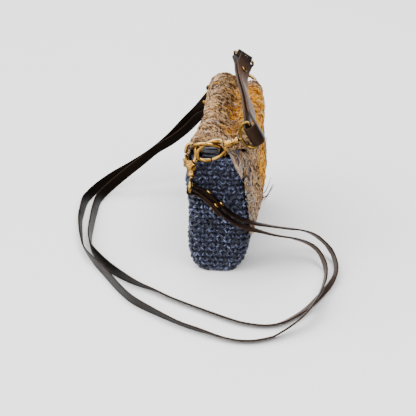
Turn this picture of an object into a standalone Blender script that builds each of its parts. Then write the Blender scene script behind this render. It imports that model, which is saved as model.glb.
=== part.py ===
"""Crochet crossbody bag that stands on its base, with its flap closed.

A navy pouch worked in one, a soft flap sewn along its back, a brass ring at the top of each
gusset, a strap of two narrow leather strips and a short folded leather handle.

Frame: +X along the bag's width, -Y its front, +Z up. The origin is the middle of the base.
Every size below is in millimetres. add_mesh turns them into metres.
"""
import math

import bpy
from mathutils import Matrix, Vector

MM = 0.001
GAP = 0.35

# Pouch
BAG_HALF_WIDTH = 110.0
WALL = 5.0
BASE_HALF_WIDTH = 106.5
BASE_ROUNDING = 9.0
CORNER = 9.0
WALL_TOP = 125.0
GUSSET_TOP = 121.5
# Heights up the pouch, with the outside of the back and of the front at its ends, and how far each
# bows out in the middle. The back sags in at the mouth
POUCH_SECTION = [
    # (z, back_y, front_y, back_bow, front_bow)
    (0.0, 14.0, -11.0, 0.0, 0.0),
    (1.6, 19.0, -16.0, 0.1, 0.1),
    (6.0, 24.0, -20.5, 0.5, 0.5),
    (12.0, 27.2, -24.6, 1.0, 1.0),
    (20.0, 29.0, -27.8, 1.7, 1.7),
    (37.0, 29.8, -30.2, 3.1, 3.1),
    (52.0, 28.8, -30.0, 4.2, 3.0),
    (65.0, 28.8, -28.8, 4.6, 3.6),
    (80.0, 30.2, -26.6, 3.4, 4.4),
    (95.0, 32.6, -24.6, 0.5, 4.8),
    (103.0, 31.4, -24.0, -2.5, 4.6),
    (110.0, 29.6, -23.4, -5.0, 4.4),
    (125.0, 27.6, -22.4, -9.3, 4.0),
]
LONG_STEPS = 12
SHORT_STEPS = 4
CORNER_STEPS = 3

# Flap
FLAP_THICKNESS = 4.6
FLAP_HALF_WIDTH = 106.8
FLAP_FRONT_FLARE = 1.4
FLAP_BACK_HEM = 110.0
FLAP_FRONT_HEM = 44.0
# The flap's middle surface over the mouth, from the back to the front, at its two ends
FLAP_TOP = [
    # (near_y, near_z, far_y, far_z, mid_dy, mid_dz)
    (30.0, 128.0, 28.8, 131.0, -7.6, 0.0),
    (24.4, 136.0, 25.2, 141.5, -5.5, 2.5),
    (14.5, 139.0, 15.5, 146.0, -2.0, 3.0),
    (4.0, 136.0, 5.0, 144.5, 0.0, -0.5),
    (-6.0, 131.0, -4.0, 139.0, 0.0, -4.0),
    (-12.0, 130.5, -10.5, 137.0, -0.5, -4.5),
    (-19.0, 134.0, -16.5, 139.0, -1.0, -1.0),
    (-26.0, 134.0, -23.5, 138.5, -2.5, 0.5),
    (-30.0, 127.5, -28.0, 130.5, -4.5, 0.5),
]
# Down the front, with the space between the flap and the pouch
FLAP_FRONT = [
    # (z, gap)
    (115.0, 4.4),
    (100.0, 1.6),
    (86.0, 1.0),
    (70.0, 1.0),
    (56.0, 1.2),
    (44.0, 1.0),
]
FLAP_COLUMNS = 22
FLAP_ROWS = 38

# Rings and tabs at the gussets. The far ones face the other way and sit nearer the middle
NEAR_RING_BAR = (-112.5, 11.0, 130.5)
FAR_RING_BAR = (112.5, -6.5, 130.5)
RING_WIRE = 2.0
RING_HALF = 15.0
RING_LEG = 5.0
RING_ARC = 15.0
NEAR_RING_TILT = 38.0
FAR_RING_TILT = 30.0
TAB_WIDTH = 16.2
NEAR_TAB_Y = 7.1
FAR_TAB_Y = -2.5
TAB_LEATHER = 1.7
TAB_DEPTH = 24.0

# Clasps
HANDLE_CLASP = {"loop": 34.0, "width": 21.0, "wire": 2.0, "swell": 0.35, "cup": 4.1, "neck": 5.2, "barrel": 6.4,
                "barrel_r": 3.7, "eye_half": 13.0, "eye_leg": 4.4, "eye_arc": 8.6, "eye_wire": 1.5,
                "gate_end": 104.0, "squareness": 1.0}
STRAP_CLASP = {"loop": 22.0, "width": 13.6, "wire": 1.7, "swell": 0.6, "cup": 5.4, "neck": 6.6, "barrel": 4.6,
               "barrel_r": 3.5, "eye_half": 14.2, "eye_leg": 4.0, "eye_arc": 7.2, "eye_wire": 1.7,
               "gate_end": 88.0, "squareness": 0.8}
GATE_PIVOT = 24.0
GATE_SLIT = 0.5
KNUCKLE = 2.3

# Leather
STRAP_WIDTH = 11.0
STRAP_THICKNESS = 1.6
STRIP_PITCH = 11.8
HANDLE_WIDTH = 19.6
HANDLE_THICKNESS = 2.2
RIVET_HEAD = 3.3
RIVET_POST = 1.1
RIVET_HOLE = 1.6
RIVET_SIDES = 8
FOLD_STEPS = 8
STRAP_FOLD = 3.1
STRAP_RETURN = 40.0
STRAP_FAR_RETURN = 22.0

# Middle line of the two crossbody strips, from the near clasp round the floor to the far one. roll
# turns a strip's face about its run: 0 lies flat and 90 stands on edge. The floor lifts low rows
STRIP_ONE = [
    # (x, y, z, roll)
    (-119.6, 19.0, 93.2, 0.0),
    (-119.0, 12.0, 89.7, 0.0),
    (-118.5, 5.0, 84.2, -1.0),
    (-118.5, -1.0, 78.3, -1.0),
    (-118.5, -9.0, 70.0, 0.0),
    (-118.5, -19.0, 63.0, 0.0),
    (-118.0, -29.0, 59.0, 0.0),
    (-115.0, -37.5, 55.5, 0.0),
    (-104.0, -50.0, 49.0, 1.0),
    (-86.0, -64.5, 39.5, 4.0),
    (-68.0, -81.5, 30.5, 12.0),
    (-60.0, -94.0, 23.5, 22.0),
    (-59.0, -103.5, 16.5, 44.0),
    (-65.0, -111.0, 11.0, 70.0),
    (-76.0, -116.5, 6.0, 90.0),
    (-102.0, -119.0, 0.0, 110.0),
    (-124.0, -116.5, 0.0, 133.0),
    (-145.5, -110.5, 0.0, 150.0),
    (-168.5, -102.0, 0.0, 151.0),
    (-187.5, -94.0, 0.0, 150.0),
    (-206.0, -83.0, 0.0, 149.0),
    (-222.0, -70.0, 0.0, 150.0),
    (-228.0, -55.5, 0.0, 152.0),
    (-225.0, -35.5, 0.0, 151.0),
    (-217.5, -20.0, 0.0, 150.0),
    (-199.0, 10.0, 0.0, 149.0),
    (-179.0, 40.0, 0.0, 146.0),
    (-167.5, 54.0, 0.0, 142.0),
    (-158.0, 71.0, 0.0, 128.0),
    (-145.5, 87.5, 0.0, 105.0),
    (-123.5, 108.0, 0.0, 86.0),
    (-98.0, 125.0, 0.0, 88.0),
    (-74.5, 137.0, 0.0, 97.0),
    (-44.5, 144.5, 0.0, 108.0),
    (-8.0, 149.5, 0.0, 114.0),
    (27.5, 153.5, 0.0, 120.0),
    (68.0, 155.5, 4.0, 118.0),
    (88.0, 147.0, 10.5, 114.0),
    (106.0, 130.0, 22.0, 108.0),
    (117.0, 113.0, 34.0, 102.0),
    (126.0, 97.5, 45.5, 96.0),
    (134.0, 81.5, 53.5, 90.0),
    (140.0, 67.5, 63.0, 86.0),
    (143.0, 57.5, 72.0, 84.0),
    (144.2, 48.0, 82.5, 86.0),
    (144.9, 35.8, 88.9, 90.0),
]
STRIP_TWO = [
    # (x, y, z, roll)
    (-132.0, 19.5, 93.6, 0.0),
    (-131.4, 12.0, 89.2, 0.0),
    (-130.8, 5.0, 83.0, -1.0),
    (-130.0, -1.0, 75.5, -2.0),
    (-130.0, -9.0, 68.0, 0.0),
    (-130.0, -19.0, 61.5, 0.0),
    (-129.5, -29.5, 56.5, 0.0),
    (-126.0, -40.5, 52.5, 0.0),
    (-116.0, -53.0, 45.0, 1.0),
    (-103.0, -63.5, 37.5, 5.0),
    (-91.0, -74.0, 31.0, 13.0),
    (-79.0, -88.5, 21.5, 24.0),
    (-79.0, -98.0, 15.5, 52.0),
    (-86.0, -104.0, 10.0, 82.0),
    (-103.5, -108.5, 5.5, 100.0),
    (-136.0, -108.0, 7.5, 112.0),
    (-167.5, -104.5, 10.5, 117.0),
    (-196.0, -99.0, 12.5, 121.0),
    (-220.5, -91.0, 12.0, 128.0),
    (-234.0, -80.5, 8.0, 136.0),
    (-247.0, -68.5, 5.0, 142.0),
    (-255.5, -54.5, 0.0, 149.0),
    (-259.5, -42.0, 0.0, 152.0),
    (-257.5, -24.0, 0.0, 150.0),
    (-245.0, 4.5, 0.0, 134.0),
    (-234.5, 23.5, 0.0, 130.0),
    (-212.5, 52.5, 0.0, 113.0),
    (-193.0, 74.0, 0.0, 99.0),
    (-167.5, 92.0, 0.0, 91.0),
    (-132.0, 113.0, 0.0, 88.0),
    (-107.5, 128.5, 0.0, 102.0),
    (-84.0, 141.0, 0.0, 112.0),
    (-60.0, 150.0, 0.0, 104.0),
    (-26.5, 158.5, 0.0, 110.0),
    (2.0, 164.5, 0.0, 110.0),
    (21.0, 167.0, 0.0, 112.0),
    (62.0, 170.5, 3.0, 119.0),
    (84.0, 164.5, 8.0, 116.0),
    (108.0, 147.5, 16.0, 110.0),
    (122.0, 127.5, 25.0, 104.0),
    (133.0, 103.5, 39.0, 96.0),
    (143.0, 82.0, 56.2, 90.0),
    (148.5, 65.0, 74.2, 88.0),
    (150.8, 52.5, 87.0, 88.0),
    (149.0, 45.1, 96.1, 90.0),
]
STRIP_STEP = 6.5
# Rows over which a strip turns from its eye's bar to its own roll
END_ROWS = 6
# Rivets: which strip, and how far along it from the near clasp (positive) or the far one (negative)
STRIP_RIVETS = [
    # (strip, along)
    (0, 16.5),
    (0, 34.0),
    (1, 28.5),
    (0, -15.0),
    (1, -15.0),
]

# Middle line of the handle's lower layer between the clasps' eyes, with its width's direction and
# half the space between the middles of its two layers
HANDLE_LINE = [
    # (x, y, z, wx, wy, wz, half_gap)
    (-101.0, -33.3, 154.1, 0.0, -0.54, -0.84, 3.6),
    (-84.0, -28.8, 157.3, 0.0, -0.44, -0.90, 2.4),
    (-57.0, -24.5, 163.9, 0.0, -0.46, -0.89, 2.0),
    (-31.0, -18.2, 169.2, 0.0, -0.40, -0.92, 1.8),
    (-8.0, -13.6, 175.3, 0.0, -0.42, -0.91, 1.6),
    (9.0, -13.2, 180.1, 0.0, -0.60, -0.80, 1.9),
    (34.0, -9.4, 181.4, 0.02, -0.72, -0.69, 1.4),
    (56.0, -8.6, 178.4, 0.02, -0.86, -0.50, 1.4),
    (76.0, -8.4, 173.2, -0.12, -0.86, -0.46, 1.4),
    (91.0, -8.3, 169.0, -0.24, -0.86, -0.42, 1.7),
]
HANDLE_STEP = 4.5
HANDLE_FOLD = 5.6
HANDLE_FAR_FOLD = 3.4
# The fold round the near eye leans from the eye's own bar: its middle and its width's direction
HANDLE_NEAR_FOLD = (-119.6, -35.8, 151.6, 0.0, -0.50, -0.87)
# The upper layer comes back as far as this from the near eye, then peels up to its square end
HANDLE_DOUBLED = 114.0
HANDLE_END = [
    # (x, y, z, wx, wy, wz)
    (6.0, -14.5, 180.8, 0.0, -0.59, -0.81),
    (15.0, -15.8, 183.7, 0.0, -0.57, -0.82),
    (24.0, -17.6, 186.6, 0.0, -0.565, -0.825),
]
HANDLE_RETURN = 24.0
HANDLE_RIVETS = [129.5, -16.0]

# Where the clasps lie: the middle of the loop, the way to the eye, the way that the loop faces and
# the way that the eye's bar runs
CLASPS = {
    "near_handle": {"loop": (-121.9, 5.0, 133.8), "axis": (0.052, -0.91, 0.41), "faces": (-1.0, 0.0, 0.0),
                    "bar": (0.0, -0.415, -0.91), "sizes": HANDLE_CLASP},
    "near_strap": {"loop": (-117.4, 25.9, 128.7), "axis": (-0.26, -0.04, -0.965), "faces": (-1.0, 0.0, 0.0),
                   "bar": (-1.0, 0.0, 0.0), "sizes": STRAP_CLASP},
    "far_handle": {"loop": (134.2, -3.4, 133.0), "axis": (-0.61, -0.107, 0.785), "faces": (0.0, 1.0, 0.0),
                   "bar": (-0.10, -0.72, -0.69), "sizes": HANDLE_CLASP},
    "far_strap": {"loop": (123.5, 10.5, 132.4), "axis": (0.626, 0.461, -0.629), "faces": (0.866, 0.0, 0.5),
                  "bar": (0.0, 0.79, 0.61), "sizes": STRAP_CLASP},
}

# Colours and finishes
NAVY = ((0.012, 0.016, 0.036), 0.85, 0.0)
TAUPE = ((0.30, 0.235, 0.18), 0.95, 0.0)
BLACK_LEATHER = ((0.012, 0.010, 0.010), 0.32, 0.0)
BROWN_LEATHER = ((0.030, 0.017, 0.012), 0.42, 0.0)
BRASS = ((0.72, 0.50, 0.22), 0.24, 1.0)


def clear_scene():
    for old in list(bpy.data.objects):
        bpy.data.objects.remove(old, do_unlink=True)


def material(name, look):
    """A Principled material from a colour, a roughness and a metallic value."""
    colour, roughness, metallic = look
    made = bpy.data.materials.new(name)
    made.use_nodes = True
    shader = made.node_tree.nodes["Principled BSDF"]
    shader.inputs["Base Color"].default_value = (*colour, 1.0)
    shader.inputs["Roughness"].default_value = roughness
    shader.inputs["Metallic"].default_value = metallic
    return made


def add_mesh(name, points, faces, look, origin=(0.0, 0.0, 0.0), parent=None):
    """An object of its own material, from points in millimetres about its origin."""
    mesh = bpy.data.meshes.new(name)
    mesh.from_pydata([Vector(point) * MM for point in points], [], faces)
    mesh.update()
    mesh.shade_smooth()
    mesh.set_sharp_from_angle(angle=math.radians(40.0))
    mesh.materials.append(material(name, look))
    made = bpy.data.objects.new(name, mesh)
    bpy.context.collection.objects.link(made)
    made.location = Vector(origin) * MM
    made.parent = parent
    return made


def boolean(target, tool, operation):
    """Cut or join target with tool, which stays in the file as a wire guide."""
    tool.hide_render = True
    tool.display_type = "WIRE"
    step = target.modifiers.new(tool.name, "BOOLEAN")
    step.operation = operation
    step.object = tool
    step.solver = "EXACT"


def rings_to_faces(ring_count, ring_size, closed=False, caps=True):
    """Faces between rings of points that run the same way, with a cap at each end."""
    faces = []
    last = ring_count if closed else ring_count - 1
    for ring in range(last):
        here = ring * ring_size
        there = ((ring + 1) % ring_count) * ring_size
        for i in range(ring_size):
            j = (i + 1) % ring_size
            faces.append((here + i, here + j, there + j, there + i))
    if caps and not closed:
        faces.append(tuple(reversed(range(ring_size))))
        faces.append(tuple(range((ring_count - 1) * ring_size, ring_count * ring_size)))
    return faces


def blend(table, value, column):
    """A smooth reading of one column of a table whose first column rises."""
    if value <= table[0][0]:
        return table[0][column]
    for low, high in zip(table, table[1:]):
        if value <= high[0]:
            part = (value - low[0]) / (high[0] - low[0])
            return low[column] + (high[column] - low[column]) * part
    return table[-1][column]


def curve_through(rows, step):
    """Rows along a smooth curve through the given rows, about step apart by their first three values."""
    rows = [tuple(float(value) for value in row) for row in rows]
    first = tuple(2 * a - b for a, b in zip(rows[0], rows[1]))
    last = tuple(2 * a - b for a, b in zip(rows[-1], rows[-2]))
    padded = [first] + rows + [last]
    made = []
    for i in range(1, len(padded) - 2):
        before, start, end, after = padded[i - 1:i + 3]
        length = (Vector(end[:3]) - Vector(start[:3])).length
        count = max(1, round(length / step))
        for k in range(count):
            t = k / count
            made.append(tuple(
                0.5 * (2 * q + (r - p) * t + (2 * p - 5 * q + 4 * r - s) * t * t
                       + (3 * q - p - 3 * r + s) * t ** 3)
                for p, q, r, s in zip(before, start, end, after)))
    made.append(rows[-1])
    return made


# Pouch

def bulge(x):
    """How far the panels bow out at x, from 0 at the gussets to 1 in the middle."""
    part = max(-1.0, min(1.0, x / BAG_HALF_WIDTH))
    return (1.0 - part * part) ** 1.4


def wall_y(side, x, z):
    """Outside of the back (side 1) or the front (side -1) at x and z."""
    column = 1 if side > 0 else 2
    bow = blend(POUCH_SECTION, z, column + 2)
    return blend(POUCH_SECTION, z, column) + side * bow * bulge(x)


def half_width(z):
    """Half the pouch's width at height z, rounded in at the base."""
    if z >= BASE_ROUNDING:
        return BAG_HALF_WIDTH
    drop = (BASE_ROUNDING - z) / BASE_ROUNDING
    inset = (BAG_HALF_WIDTH - BASE_HALF_WIDTH) * (1.0 - math.sqrt(max(0.0, 1.0 - drop * drop)))
    return BAG_HALF_WIDTH - inset


def pouch_ring(z, inset):
    """Points round the pouch at height z, inset from its outside."""
    reach = half_width(z) - inset
    corner = CORNER - 0.5 * inset
    inner = reach - corner
    points = []
    for side in (-1, 1):
        for i in range(LONG_STEPS + 1):
            x = side * -1 * (-inner + 2 * inner * i / LONG_STEPS)
            points.append((x, wall_y(side, x, z) - side * inset, z))
        end = -side * inner
        panel = wall_y(side, end, z) - side * inset
        opposite = wall_y(-side, end, z) + side * inset
        for i in range(1, CORNER_STEPS + 1):
            angle = math.radians(90.0 * i / (CORNER_STEPS + 1))
            points.append((end - side * corner * math.sin(angle), panel - side * corner * (1 - math.cos(angle)), z))
        low = panel - side * corner
        high = opposite + side * corner
        for i in range(SHORT_STEPS + 1):
            points.append((end - side * corner, low + (high - low) * i / SHORT_STEPS, z))
        for i in range(1, CORNER_STEPS + 1):
            angle = math.radians(90.0 * (1.0 - i / (CORNER_STEPS + 1)))
            points.append((end - side * corner * math.sin(angle), opposite + side * corner * (1 - math.cos(angle)), z))
    return points


def rim_height(x, top):
    """Height of the mouth's edge at x: lower over the gussets."""
    near = min(1.0, max(0.0, (BAG_HALF_WIDTH - WALL - 1.0 - abs(x)) / 16.0))
    ease = near * near * (3.0 - 2.0 * near)
    return GUSSET_TOP + (top - GUSSET_TOP) * ease


def make_pouch():
    """A hollow shell with an open mouth, whose back sags in at the top."""
    outer = [0.0, 1.6, 6.0, 12.0, 20.0, 37.0, 52.0, 65.0, 80.0, 95.0, 103.0, 111.0, WALL_TOP]
    inner = [WALL_TOP, 111.0, 103.0, 95.0, 80.0, 65.0, 52.0, 37.0, 20.0, 12.0, 7.0]
    rings = [pouch_ring(z, 0.0) for z in outer] + [pouch_ring(z, WALL) for z in inner]
    points = []
    for number, ring in enumerate(rings):
        at_mouth = number in (len(outer) - 1, len(outer))
        for x, y, z in ring:
            points.append((x, y, rim_height(x, WALL_TOP) if at_mouth else z))
    faces = rings_to_faces(len(rings), len(rings[0]))
    return add_mesh("pouch", points, faces, NAVY)


# Flap

def flap_section(x):
    """The flap's middle surface at x as a row of (y, z), from the hem at the back to the one at the front."""
    along = 0.5 + 0.5 * x / FLAP_HALF_WIDTH
    middle = bulge(x)
    lie = FLAP_THICKNESS / 2 + 0.5
    rows = [(wall_y(1, x, FLAP_BACK_HEM) + lie + 1.0, FLAP_BACK_HEM),
            (wall_y(1, x, 119.0) + lie + 0.4, 119.0)]
    for near_y, near_z, far_y, far_z, mid_dy, mid_dz in FLAP_TOP:
        y = near_y + (far_y - near_y) * along + mid_dy * middle
        z = near_z + (far_z - near_z) * along + mid_dz * middle
        rows.append((y + 0.6 * math.sin(x / 19.0 + y / 9.0), z + 0.7 * math.sin(x / 15.0 + y / 11.0)))
    for z, gap in FLAP_FRONT:
        low_edge = (1.0 - (z - FLAP_FRONT_HEM) / 71.0) ** 3
        drop = low_edge * (1.6 * math.sin(x / 13.0) + 1.1 * math.sin(x / 5.2 + 1.0))
        rows.append((wall_y(-1, x, z) - gap - FLAP_THICKNESS / 2, z + drop))
    return rows


def make_flap():
    """A sheet over the mouth and down the front, with a soft valley between two rolls on top."""
    points_at = []
    for column in range(FLAP_COLUMNS + 1):
        part = column / FLAP_COLUMNS
        x = -FLAP_HALF_WIDTH + 2 * FLAP_HALF_WIDTH * part
        line = curve_through([(y, z, 0.0) for y, z in flap_section(x)], 3.0)
        lengths = [0.0]
        for a, b in zip(line, line[1:]):
            lengths.append(lengths[-1] + math.dist(a, b))
        table = [(length, y, z) for length, (y, z, _) in zip(lengths, line)]
        row = []
        for k in range(FLAP_ROWS + 1):
            at = lengths[-1] * k / FLAP_ROWS
            flare = FLAP_FRONT_FLARE * max(0.0, min(1.0, (k / FLAP_ROWS - 0.5) / 0.2))
            edge = 0.9 * math.sin(k / 1.9) * abs(2 * part - 1.0) ** 6
            wide = x + (2 * part - 1.0) * (flare + edge)
            row.append(Vector((wide, blend(table, at, 1), blend(table, at, 2))))
        points_at.append(row)
    outer, inner = [], []
    for i, row in enumerate(points_at):
        for k, point in enumerate(row):
            down = row[min(k + 1, FLAP_ROWS)] - row[max(k - 1, 0)]
            along = points_at[min(i + 1, FLAP_COLUMNS)][k] - points_at[max(i - 1, 0)][k]
            out = down.cross(along).normalized()
            outer.append(point + out * FLAP_THICKNESS / 2)
            inner.append(point - out * FLAP_THICKNESS / 2)
    count = FLAP_ROWS + 1
    columns = FLAP_COLUMNS + 1
    size = count * columns
    faces = []
    for i in range(FLAP_COLUMNS):
        for k in range(FLAP_ROWS):
            a, b = i * count + k, (i + 1) * count + k
            faces.append((a, a + 1, b + 1, b))
            faces.append((size + a, size + b, size + b + 1, size + a + 1))
    rim = [i * count for i in range(columns)]
    rim += [(columns - 1) * count + k for k in range(1, count)]
    rim += [i * count + FLAP_ROWS for i in range(columns - 2, -1, -1)]
    rim += [k for k in range(FLAP_ROWS - 1, 0, -1)]
    for a, b in zip(rim, rim[1:] + rim[:1]):
        faces.append((a, b, size + b, size + a))
    return add_mesh("flap", outer + inner, faces, TAUPE)


# Wire shapes

def tube(line, radius, side, sides=8, closed=False, radii=None):
    """Points and faces of a round wire along a flat line. side is square to the line's plane."""
    side = Vector(side).normalized()
    line = [Vector(point) for point in line]
    count = len(line)
    points = []
    for i, point in enumerate(line):
        before = line[(i - 1) % count] if closed or i else line[0]
        after = line[(i + 1) % count] if closed or i < count - 1 else line[-1]
        run = (after - before).normalized()
        out = side.cross(run).normalized()
        thick = radii[i] if radii else radius
        for k in range(sides):
            angle = 2 * math.pi * k / sides
            points.append(point + (side * math.cos(angle) - out * math.sin(angle)) * thick)
    return points, rings_to_faces(count, sides, closed=closed)


def slant_end(points, first, size, centre, run, normal):
    """Shift one end ring along the wire so that it lies in the plane square to normal."""
    for i in range(first, first + size):
        offset = (Vector(centre) - points[i]).dot(normal)
        points[i] = points[i] + Vector(run) * (offset / Vector(run).dot(normal))


def ring_outline(half, leg, arc, bend_steps=3, arc_steps=16):
    """Middle line of a D: a bar across, two legs and a half ellipse, from the bar's middle on round."""
    corner = 2.6
    points = [(0.0, 0.0), (0.0, half - corner)]
    for i in range(1, bend_steps + 1):
        angle = math.radians(90.0 * i / (bend_steps + 1))
        points.append((corner * (1 - math.cos(angle)), half - corner + corner * math.sin(angle)))
    points.append((corner, half))
    for i in range(arc_steps + 1):
        angle = math.radians(90.0 - 180.0 * i / arc_steps)
        points.append((leg + arc * math.cos(angle), half * math.sin(angle)))
    points.append((corner, -half))
    for i in range(bend_steps, 0, -1):
        angle = math.radians(90.0 * i / (bend_steps + 1))
        points.append((corner * (1 - math.cos(angle)), -(half - corner) - corner * math.sin(angle)))
    points.append((0.0, -(half - corner)))
    return points


def make_ring(name, spot, tilt_degrees):
    """A D-ring whose bar lies along Y, tilted up and out from its tab."""
    tilt = math.radians(tilt_degrees)
    out = Vector((-math.cos(tilt), 0.0, math.sin(tilt)))
    line = [out * along + Vector((0.0, across, 0.0))
            for along, across in ring_outline(RING_HALF, RING_LEG, RING_ARC)]
    points, faces = tube(line, RING_WIRE, out.cross(Vector((0.0, 1.0, 0.0))), closed=True)
    made = add_mesh(name, points, faces, BRASS)
    face_outward(made, spot)
    return made


def face_outward(made, spot):
    """Set an object that was built for the near end at spot, turned half round at the far end."""
    made.location = Vector(spot) * MM
    if spot[0] > 0.0:
        made.rotation_euler = (0.0, 0.0, math.pi)


def make_tab(name, bar, centre_y):
    """A leather strip folded round the ring's bar, whose two ends pass over the gusset's edge and down inside."""
    outer = RING_WIRE + GAP + TAB_LEATHER
    thick = 2 * TAB_LEATHER
    rim = GUSSET_TOP + GAP - bar[2]
    inside = abs(bar[0]) - (BAG_HALF_WIDTH - WALL) + GAP
    outline = []
    for i in range(13):
        angle = math.radians(-38.0 + (360.0 - 96.0) * i / 12)
        outline.append((outer * math.cos(angle), outer * math.sin(angle)))
    outline += [(-0.6, rim + 0.9), (1.6, rim), (inside, rim), (inside, rim - TAB_DEPTH),
                (inside + thick, rim - TAB_DEPTH), (inside + thick, rim + 2.0),
                (inside + thick - 1.4, rim + thick)]
    count = len(outline)
    points = [(x, -TAB_WIDTH / 2, z) for x, z in outline] + [(x, TAB_WIDTH / 2, z) for x, z in outline]
    faces = [tuple(range(count)), tuple(reversed(range(count, 2 * count)))]
    for i in range(count):
        j = (i + 1) % count
        faces.append((j, i, count + i, count + j))
    spot = (bar[0], centre_y, bar[2])
    made = add_mesh(name, points, faces, BLACK_LEATHER)
    bore = [(0.0, y, 0.0) for y in (-TAB_WIDTH, TAB_WIDTH)]
    bore_points, bore_faces = tube(bore, RING_WIRE + GAP, (0.0, 0.0, 1.0), sides=16)
    tool = add_mesh(name + "_bore", bore_points, bore_faces, BLACK_LEATHER)
    face_outward(made, spot)
    face_outward(tool, spot)
    boolean(made, tool, "DIFFERENCE")
    return made


# Clasps, built about the middle of the loop: x runs to the eye, y across the loop, z faces out of it

def square_to(way, axis):
    """way, turned as little as needed to be square to axis."""
    return (way - axis * way.dot(axis)).normalized()


def clasp_reach(sizes):
    """From the middle of the loop to the middle of the eye's bar."""
    return (sizes["loop"] / 2 + sizes["neck"] + sizes["barrel"] + 1.4
            + sizes["eye_wire"] + sizes["eye_leg"] + sizes["eye_arc"])


def loop_point(sizes, degrees):
    """A point of the loop's middle line. 0 is at the neck and the gate's side is negative."""
    angle = math.radians(degrees)
    along = sizes["loop"] / 2 - sizes["wire"]
    across = sizes["width"] / 2 - sizes["wire"]
    flat = sizes["squareness"]
    return Vector((along * math.copysign(abs(math.cos(angle)) ** flat, math.cos(angle)),
                   across * math.copysign(abs(math.sin(angle)) ** flat, math.sin(angle)), 0.0))


def turned_solid(profile, sides=12):
    """Points and faces round x from rows of (x, half width, half depth)."""
    points = []
    for x, wide, deep in profile:
        for k in range(sides):
            angle = 2 * math.pi * k / sides
            points.append((x, wide * math.cos(angle), deep * math.sin(angle)))
    return points, rings_to_faces(len(profile), sides)


def make_clasp(name, place, look=BRASS):
    """A hook with a neck and barrel, its sprung gate and its swivel eye, all on one empty."""
    sizes = place["sizes"]
    holder = bpy.data.objects.new(name + "_holder", None)
    bpy.context.collection.objects.link(holder)
    along = Vector(place["axis"]).normalized()
    normal = square_to(Vector(place["faces"]), along)
    across = normal.cross(along)
    holder.matrix_world = Matrix((along, across, normal)).transposed().to_4x4()
    holder.location = Vector(place["loop"]) * MM

    pivot = loop_point(sizes, -GATE_PIVOT)
    tip = loop_point(sizes, -sizes["gate_end"])
    chord = (tip - pivot).normalized()
    wire = sizes["wire"]

    start = -sizes["gate_end"] - 2.0
    sweep = 360.0 - sizes["gate_end"] - 2.0 - (GATE_PIVOT - 6.0)
    steps = 22
    line = [loop_point(sizes, start - sweep * i / steps) for i in range(steps + 1)]
    line[0] = tip + chord * GATE_SLIT
    radii = [wire * (1.0 + sizes["swell"] * max(0.0, i / steps - 0.55) / 0.45) for i in range(steps + 1)]
    points, faces = tube(line, wire, (0.0, 0.0, 1.0), radii=radii)
    slant_end(points, 0, 8, line[0], (line[1] - line[0]).normalized(), chord)
    hook = add_mesh(name + "_hook", points, faces, look, parent=holder)

    end = sizes["loop"] / 2
    cup, radius = sizes["cup"], sizes["barrel_r"]
    seat_end = end + sizes["neck"]
    neck_profile = [(end - 2.2 * wire, wire * 1.1, wire), (end - 0.8 * wire, wire * 1.7, wire * 1.3),
                    (end - 0.2 * wire, cup * 0.97, wire * 1.6), (end + 0.3 * sizes["neck"], cup, wire * 1.7),
                    (seat_end - 0.9, cup * 0.8, wire * 1.5), (seat_end - 0.4, radius * 0.9, radius * 0.9),
                    (seat_end + 0.6, radius, radius), (seat_end + sizes["barrel"] - 0.8, radius, radius),
                    (seat_end + sizes["barrel"], radius * 0.86, radius * 0.86)]
    neck_points, neck_faces = turned_solid(neck_profile)
    neck = add_mesh(name + "_neck", neck_points, neck_faces, look, parent=holder)
    boolean(hook, neck, "UNION")
    seat_points, seat_faces = tube([pivot + Vector((0, 0, -6.0)), pivot + Vector((0, 0, 6.0))],
                                   KNUCKLE + GAP, (1.0, 0.0, 0.0), sides=16)
    seat = add_mesh(name + "_seat", seat_points, seat_faces, look, parent=holder)
    boolean(hook, seat, "DIFFERENCE")

    gate_steps = 9
    angles = [GATE_PIVOT + 5.0 + (sizes["gate_end"] - GATE_PIVOT - 5.0) * i / gate_steps
              for i in range(gate_steps + 1)]
    gate_line = [loop_point(sizes, -angle) - pivot for angle in angles]
    gate_points, gate_faces = tube(gate_line, wire * 0.86, (0.0, 0.0, 1.0))
    slant_end(gate_points, gate_steps * 8, 8, gate_line[-1], (gate_line[-1] - gate_line[-2]).normalized(), chord)
    gate = add_mesh(name + "_gate", gate_points, gate_faces, look, origin=pivot, parent=holder)
    knuckle_points, knuckle_faces = tube([(0, 0, -wire), (0, 0, wire)], KNUCKLE, (1.0, 0.0, 0.0), sides=12)
    knuckle = add_mesh(name + "_knuckle", knuckle_points, knuckle_faces, look, origin=pivot, parent=holder)
    boolean(gate, knuckle, "UNION")
    lever_root = loop_point(sizes, -GATE_PIVOT - 14.0) - pivot
    lever_line = [lever_root, lever_root + Vector((-1.2, -2.6, 0.0)), lever_root + Vector((-2.8, -4.6, 0.0))]
    lever_points, lever_faces = tube(lever_line, 1.0, (0.0, 0.0, 1.0), radii=[1.2, 1.05, 0.9])
    lever = add_mesh(name + "_lever", lever_points, lever_faces, look, origin=pivot, parent=holder)
    boolean(gate, lever, "UNION")

    reach = clasp_reach(sizes)
    bar = square_to(Vector(place["bar"]), along)
    eye_across = Vector((0.0, bar.dot(across), bar.dot(normal)))
    eye_line = [Vector((reach - inward, 0.0, 0.0)) + eye_across * sideways
                for inward, sideways in ring_outline(sizes["eye_half"], sizes["eye_leg"], sizes["eye_arc"])]
    eye_points, eye_faces = tube(eye_line, sizes["eye_wire"], Vector((1.0, 0.0, 0.0)).cross(eye_across),
                                 closed=True)
    eye = add_mesh(name + "_eye", eye_points, eye_faces, look, parent=holder)
    crown = reach - sizes["eye_leg"] - sizes["eye_arc"]
    post_points, post_faces = turned_solid([(crown - sizes["eye_wire"] - 1.0, 1.7, 1.7), (crown + 0.3, 1.7, 1.7)], 10)
    post = add_mesh(name + "_post", post_points, post_faces, look, parent=holder)
    boolean(eye, post, "UNION")


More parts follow.
